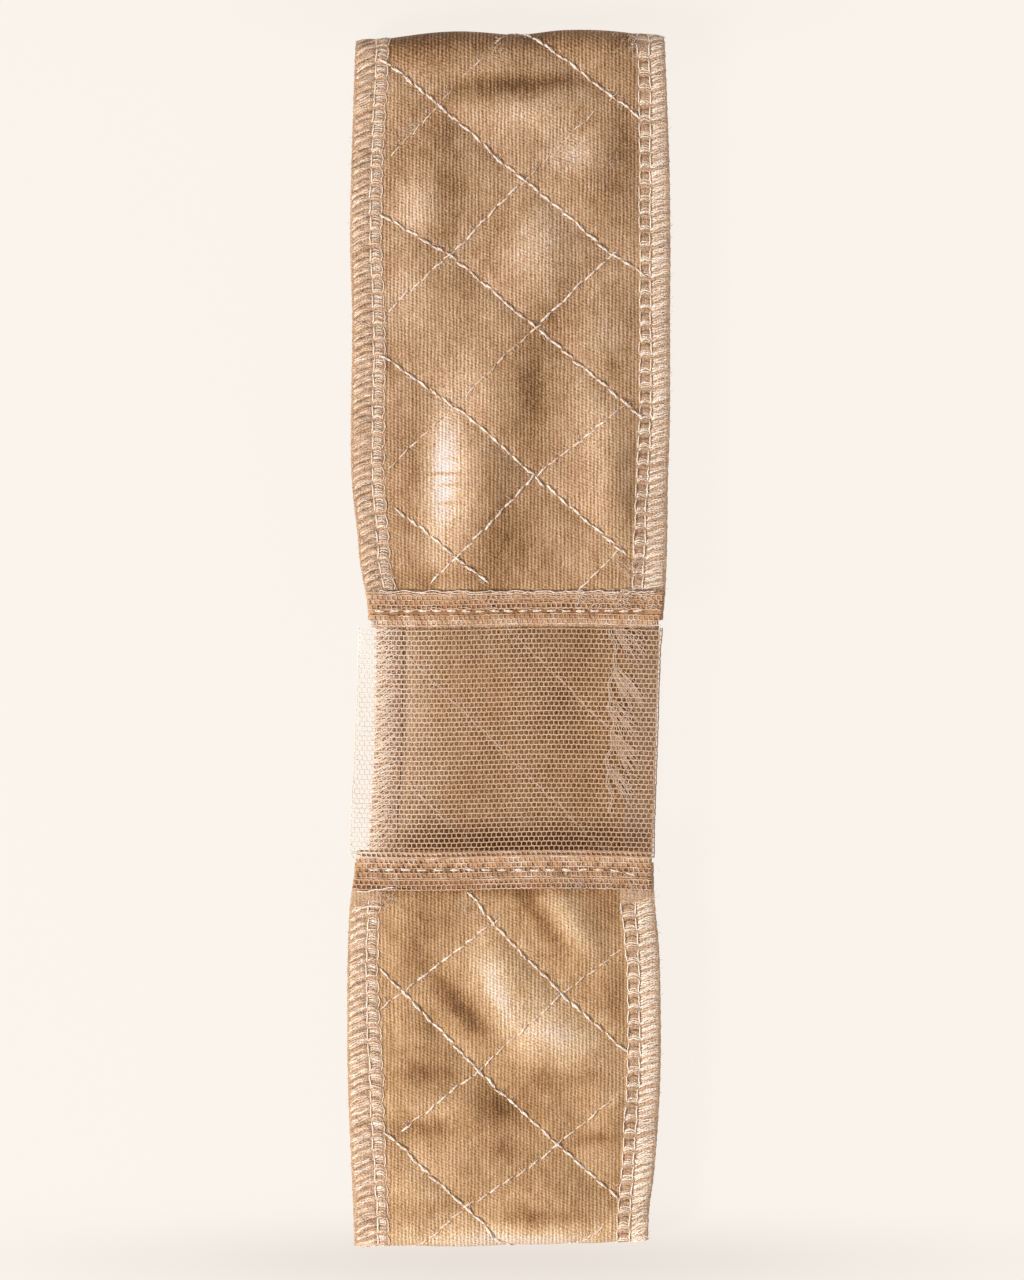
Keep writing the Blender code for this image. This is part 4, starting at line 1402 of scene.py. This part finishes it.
def add_net():
    """The window's net, with thicker threads along its edges."""
    threads = Threads()
    start, end = WINDOW_BOTTOM + 0.3 * MM, WINDOW_TOP - 0.2 * MM
    add_lattice(threads, start, end, net_rise, 0.155 * MM, net_tone_with_painted_shading, left_edge, right_edge)
    # The left selvedge is pale with painted light, the right ones dark with painted shade.
    selvedges = ((left_edge, 0.0, 0.13, 0.9), (right_edge, 0.0, 0.17, 0.10), (right_edge, -0.42, 0.15, 0.32))
    for edge, shift, radius, tone in selvedges:
        along = spread(WINDOW_BOTTOM, WINDOW_TOP - 0.6 * MM, 0.7 * MM)
        across = edge(along) + (shift + rng.uniform(-0.07, 0.07, len(along))) * MM
        threads.add(along, across, net_rise(along, across), radius * MM, tone)
    piece = threads.piece("window_net", NET, "net")
    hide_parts("net_window")
    return piece


def hem_place(panel, depth):
    """The place along the band at that distance from the window."""
    return WINDOW_TOP + depth if panel == "upper" else WINDOW_BOTTOM - depth


def hem_depth(panel, along):
    return np.abs(along - hem_place(panel, 0.0))


def hem_bed(panel, along, across):
    """The rise of what a hem lies on."""
    depth = hem_depth(panel, along)
    return relief(along, across) + CLOTH / 2 + (0.10 + 0.14 * smooth(depth / (2.2 * MM))) * MM


def on_strip(panel, along, across, lift):
    """The rise of something that lies on a hem's strip."""
    height = table_value(HEM_PROFILES[panel], hem_depth(panel, along) / MM, 1) * MM
    return hem_bed(panel, along, across) + height + 0.08 * MM + lift


def hem_stitch_row(panel):
    """The running stitches' distance from the window, their length and where each starts."""
    row, pitch, length, first, last = HEM_STITCHES[panel]
    return row * MM, length * MM, np.arange(first, last - length, pitch) * MM


def hem_droop(panel, across):
    """How far the lower hem's stitches stray at the right."""
    return 0.0 if panel == "upper" else -1.4 * MM * smooth((across - 20 * MM) / (9 * MM))


def stitch_marks(panel, along, across):
    """How far the running stitches press a hem's strip in, and how much painted shade darkens the dents and
    puckers there.
    """
    row, length, starts = hem_stitch_row(panel)
    up = along - hem_place(panel, row)
    droop = hem_droop(panel, across)
    pressed, darker = np.zeros_like(across), np.zeros_like(across)
    for start in starts:
        for end in (start, start + length):
            hole = np.exp(-(((across - end) / (0.5 * MM)) ** 2) - ((up - droop) / (0.7 * MM)) ** 2)
            pressed += 0.10 * MM * hole
            darker += 0.16 * hole
        slanted = (across - start - 0.3 * MM - 0.35 * up) / (0.55 * MM)
        pucker = np.exp(-(slanted**2) - ((up - 1.1 * MM - droop) / (0.9 * MM)) ** 2)
        pressed += 0.12 * MM * pucker
        darker += (0.10 if panel == "upper" else 0.24) * pucker
        below = ((across - start) / (0.5 * MM)) ** 2 + ((up + 1.2 * MM) / (1.0 * MM)) ** 2
        pressed += 0.08 * MM * np.exp(-below)
    return pressed, darker


def hem_ends(panel, depth):
    """The ends of a hem's strip, rounded off beside the window."""
    rounding = 1.3 * MM * (1 - smooth((depth / MM - HEM_PROFILES[panel][0, 0]) / 2.4))
    along = hem_place(panel, depth)
    left, right = HEM_INSETS[panel]
    return left_edge(along) + left + rounding, right_edge(along) - right - rounding


def add_hem_strip(panel):
    """The folded net as one dented strip, with its holes half closed."""
    profile = HEM_PROFILES[panel]
    depth = spread(profile[0, 0] * MM, profile[-1, 0] * MM, HEM_STEP)[:, None]
    along = hem_place(panel, depth)
    left, right = hem_ends(panel, depth)
    fray = 0.3 * MM * np.sin(along / (0.23 * MM))
    across = (left + fray) + (right - left - 1.6 * fray) * steps(HEM_COLUMNS)
    depth, along = np.broadcast_to(depth, across.shape), np.broadcast_to(along, across.shape)
    column = np.cos(TURN * (across / CELL_ACROSS + 0.5 * np.round(depth / CELL_ALONG)))
    holes = np.clip(column, 0, 1) * np.clip(np.cos(TURN * depth / CELL_ALONG), 0, 1)
    holes = holes * np.clip(0.6 + 0.7 * wrinkle(across * 1.7, along * 2.1), 0.1, 1)
    pressed, darker = stitch_marks(panel, along, across)
    height = table_value(profile, depth / MM, 1) * MM - 0.16 * MM * holes - pressed
    # Painted shade in the stitch dents and puckers.
    tone = table_value(profile, depth / MM, 2) - 0.50 * holes - darker
    if panel == "upper":
        tone = tone + 0.22 * smooth((left + 4 * MM - across) / (4 * MM))
    ends = smooth((across - left) / (1.6 * MM)) * smooth((right - across) / (1.2 * MM))
    placed = along + 0.10 * MM * wrinkle(across * 3, along) + 0.08 * MM * np.sin(across / (1.9 * MM))
    bed = hem_bed(panel, placed, across)
    outer = bed + 0.08 * MM + height * (0.35 + 0.65 * ends) + 0.05 * MM * wrinkle(placed * 4, across * 4)
    verts, polys, places = shell(placed, across, outer, bed - 0.02 * MM)
    values = {"tone": np.concatenate((tone, tone))}
    strip = make(f"{panel}_hem_strip", verts, polys, HEM, places, values)
    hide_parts(panel + "_hem")
    return strip


def add_hem_hairs(threads, panel):
    """Loose hairs on a hem and past its edge."""
    upper = panel == "upper"
    hairs = HEM_HAIRS[panel]
    q = steps(4)
    reach = -jitter(hairs, 0.2, 1.1) * MM if upper else jitter(hairs, -0.6, 0.9) * MM
    low, high = (-0.4, 1.2) if upper else (-1.2, 5.6)
    along = hem_place(panel, jitter(hairs, low, high) * MM) + reach * q
    across = jitter(hairs, -28.5, 29.5) * MM + q * jitter(hairs, -0.7, 0.7) * MM
    rise = hem_bed(panel, along, across) + (jitter(hairs, 0.2, 0.6) - 0.2 * q) * MM
    threads.add(along, across, rise, 0.04 * MM, rng.uniform(0.5, 0.95, hairs), sides=3)


def add_hem_net(panel):
    """Rows of net that lie loose on a hem's strip, and its hairs."""
    threads = Threads()

    def rise(along, across):
        return on_strip(panel, along, across, 0.05 * MM)

    def pale(along, across):
        return 0.55 + 0.12 * wrinkle(along * 2, across * 2)

    def shaded(along, across):
        tone = table_value(HEM_PROFILES[panel], hem_depth(panel, along) / MM, 2)
        return tone + 0.06 + 0.25 * wrinkle(along * 3, across * 3)

    def left(along):
        return left_edge(along) + HEM_INSETS[panel][0]

    def right(along):
        return right_edge(along) - HEM_NET_INSET

    edge = hem_place(panel, 0.0)
    for (low, high), radius, tone in zip(HEM_NET_ROWS[panel], (0.15 * MM, 0.14 * MM), (pale, shaded)):
        add_lattice(threads, edge + low * MM, edge + high * MM, rise, radius, tone, left, right)
    add_hem_hairs(threads, panel)
    return threads.piece(f"{panel}_hem_net", NET, "net")


def add_running_stitches(threads, panel):
    """Two-ply running stitches along a hem."""
    row, length, starts = hem_stitch_row(panel)
    count = len(starts)
    q = steps(7)
    arch = hump(q) ** 0.5
    for ply in (-1, 1):
        across = starts[:, None] + q * (length - 0.1 * MM) + jitter(count, -0.08, 0.08) * MM
        along = hem_place(panel, row) + hem_droop(panel, across) + jitter(count, -0.10, 0.10) * MM
        along = along + jitter(count, -0.15, 0.15) * MM * (2 * q - 1)
        along = along + ply * 0.09 * MM * np.cos(2.4 * math.pi * q)
        rise = on_strip(panel, along, across, (-0.07 + 0.29 * arch + ply * 0.04) * MM)
        radius = 0.148 * MM * (0.65 + 0.35 * arch)
        threads.add(along, across, rise, radius, rng.uniform(0.72, 1.0, count), sides=5)


def add_upper_hem_fray(threads):
    """Loose threads along the upper hem, and small loops of them at its right."""
    for depth, radius, tone in HEM_LOOSE:
        across = spread(-26.5 * MM, 30 * MM, 0.6 * MM)
        stray = rng.uniform(-0.14, 0.14, len(across)) * MM
        along = WINDOW_TOP + depth * MM + 0.14 * MM * np.sin(across / (0.9 * MM)) + stray
        rise = on_strip("upper", along, across, (0.14 + 0.09 * np.sin(across / (0.47 * MM))) * MM)
        shade = tone + rng.uniform(-0.35, 0.2, len(across))
        threads.add(along, across, rise, radius * MM, shade[None, :])
    loops = HEM_LOOPS
    around = jitter(loops, 0, TURN) + TURN * steps(7) * jitter(loops, 0.3, 0.8)
    size = jitter(loops, 0.3, 0.9) * MM
    across = jitter(loops, 14.0, 30.0) * MM + size * np.cos(around)
    along = WINDOW_TOP + jitter(loops, 3.5, 7.0) * MM + 0.7 * size * np.sin(around)
    rise = on_strip("upper", along, across, 0.25 * MM)
    threads.add(along, across, rise, 0.07 * MM, rng.uniform(0.5, 1.0, loops), sides=3)


def add_lower_hem_fray(threads):
    """Two loose threads below the lower hem's left end."""
    across = spread(-31 * MM, -23.4 * MM, 0.5 * MM)
    along = WINDOW_BOTTOM - 6.9 * MM + 0.9 * MM * smooth((across + 31 * MM) / (8 * MM))
    along = along + 0.1 * MM * np.sin(across / (0.5 * MM))
    threads.add(along, across, on_strip("lower", along, across, 0.25 * MM), 0.17 * MM, 0.9)
    across = spread(-31.2 * MM, -26.2 * MM, 0.4 * MM)
    along = WINDOW_BOTTOM - 10.9 * MM + 1.1 * MM * hump((across + 31.2 * MM) / (6.5 * MM)) ** 0.7
    threads.add(along, across, on_strip("lower", along, across, 0.45 * MM), 0.17 * MM, 0.95)


def add_hem(panel):
    """A hem of folded net: a dented strip, loose rows of net on it and its stitches."""
    strip = add_hem_strip(panel)
    net = add_hem_net(panel)
    threads = Threads()
    add_running_stitches(threads, panel)
    if panel == "upper":
        add_upper_hem_fray(threads)
    else:
        add_lower_hem_fray(threads)
    return strip, net, threads.piece(f"{panel}_hem_stitches", COTTON, "overlock_thread")


def add_fastener():
    """The hidden patch, with rounded edges and a nubby face."""
    low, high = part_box("fastener")
    size = [high[i] - low[i] for i in range(3)]
    middle = [(low[i] + high[i]) / 2 for i in range(3)]
    rows, columns = 56, 80
    x, y = 2 * steps(columns) - 1, 2 * steps(rows).T - 1
    corner = np.clip((np.maximum(np.abs(x), np.abs(y)) - 0.9) / 0.1, 0, 1)
    px = middle[0] + x * (1 - 0.03 * np.abs(y) ** 12) * size[0] / 2
    py = middle[1] + y * (1 - 0.03 * np.abs(x) ** 12) * size[1] / 2
    nub = 0.10 * MM * np.sin(px / (0.22 * MM)) * np.sin(py / (0.22 * MM))
    half = size[2] / 2 * (1 - 0.5 * corner**2) - 0.1 * MM + nub
    faces = [np.stack((px, py, middle[2] + way * half), axis=-1).reshape(-1, 3) for way in (1, -1)]
    material = fastener_material()
    polys = shell_polys(rows, columns)
    piece = make("fastener_patch", np.concatenate(faces), polys, material)
    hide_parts("fastener")


velvets = {panel: add_panel(panel) for panel in PANELS}
quilting = {panel: add_quilting(panel) for panel in PANELS}
edges = {panel: [add_edge_threads(panel, side) for side in ("left", "right")] for panel in PANELS}
inner_threads = add_inner_threads()
net = add_net()
hems = {panel: add_hem(panel) for panel in PANELS}
add_fastener()


FLOOR_REACH = 3.0
FLOOR_DROP = 0.4 * MM
WORLD_STRENGTH = 0.34
# Lights: name, azimuth, elevation (both in degrees), distance, size (both in metres), watts.
LIGHTS = (
    ("key", -62, 36, 1.1, 0.35, 13.5),
    ("top", 180, 50, 1.4, 0.80, 2.6),
    ("fill", 78, 24, 1.2, 0.50, 1.7),
)


def add_floor():
    """A plain floor, just below the threads of the band's underside."""
    mesh = bpy.data.meshes.new("floor")
    corners = [(x * FLOOR_REACH, y * FLOOR_REACH, 0) for x, y in ((-1, -1), (1, -1), (1, 1), (-1, 1))]
    mesh.from_pydata(corners, [], [(0, 1, 2, 3)])
    mesh.materials.append(floor_material())
    floor = bpy.data.objects.new("floor", mesh)
    floor.location.z = -FLOOR_DROP
    bpy.context.scene.collection.objects.link(floor)


def add_world():
    """Even light from all round."""
    world = bpy.data.worlds.new("studio")
    world.use_nodes = True
    background = world.node_tree.nodes["Background"]
    background.inputs["Color"].default_value = (1.0, 0.985, 0.97, 1.0)
    background.inputs["Strength"].default_value = WORLD_STRENGTH
    bpy.context.scene.world = world


def add_light(name, azimuth, elevation, distance, size, energy):
    """A soft light that faces the band. Azimuth 0 is from -Y, 90 from +X."""
    turn, tilt = math.radians(azimuth), math.radians(elevation)
    away = Vector((math.sin(turn) * math.cos(tilt), -math.cos(turn) * math.cos(tilt), math.sin(tilt)))
    data = bpy.data.lights.new(name, "AREA")
    data.shape = "DISK"
    data.size = size
    data.energy = energy
    data.color = (1.0, 0.98, 0.95)
    light = bpy.data.objects.new(name, data)
    light.location = away * distance
    light.rotation_euler = away.to_track_quat("Z", "Y").to_euler()
    bpy.context.scene.collection.objects.link(light)


PHOTO_SCALE = 0.205 * MM  # metres in the scene for each pixel of the photo
PHOTO_HEIGHT = 1280  # pixels
PHOTO_MIDDLE = (3.0, -1.35)  # of the photo, in its pixels from the band's middle
FOCUS_HEIGHT = 6.5 * MM  # where that scale holds
LENS = 135.0
SENSOR = 36.0


def add_camera():
    """The photo's view, from straight above."""
    data = bpy.data.cameras.new("camera")
    data.lens = LENS
    data.sensor_width = SENSOR
    data.dof.use_dof = False
    camera = bpy.data.objects.new("camera", data)
    distance = PHOTO_HEIGHT * PHOTO_SCALE * LENS / SENSOR
    x, y = (value * PHOTO_SCALE for value in PHOTO_MIDDLE)
    camera.location = (x, y, FOCUS_HEIGHT + distance)
    bpy.context.scene.collection.objects.link(camera)
    bpy.context.scene.camera = camera
    bpy.context.scene.view_settings.view_transform = "Standard"


add_floor()
add_world()
for light in LIGHTS:
    add_light(*light)
add_camera()
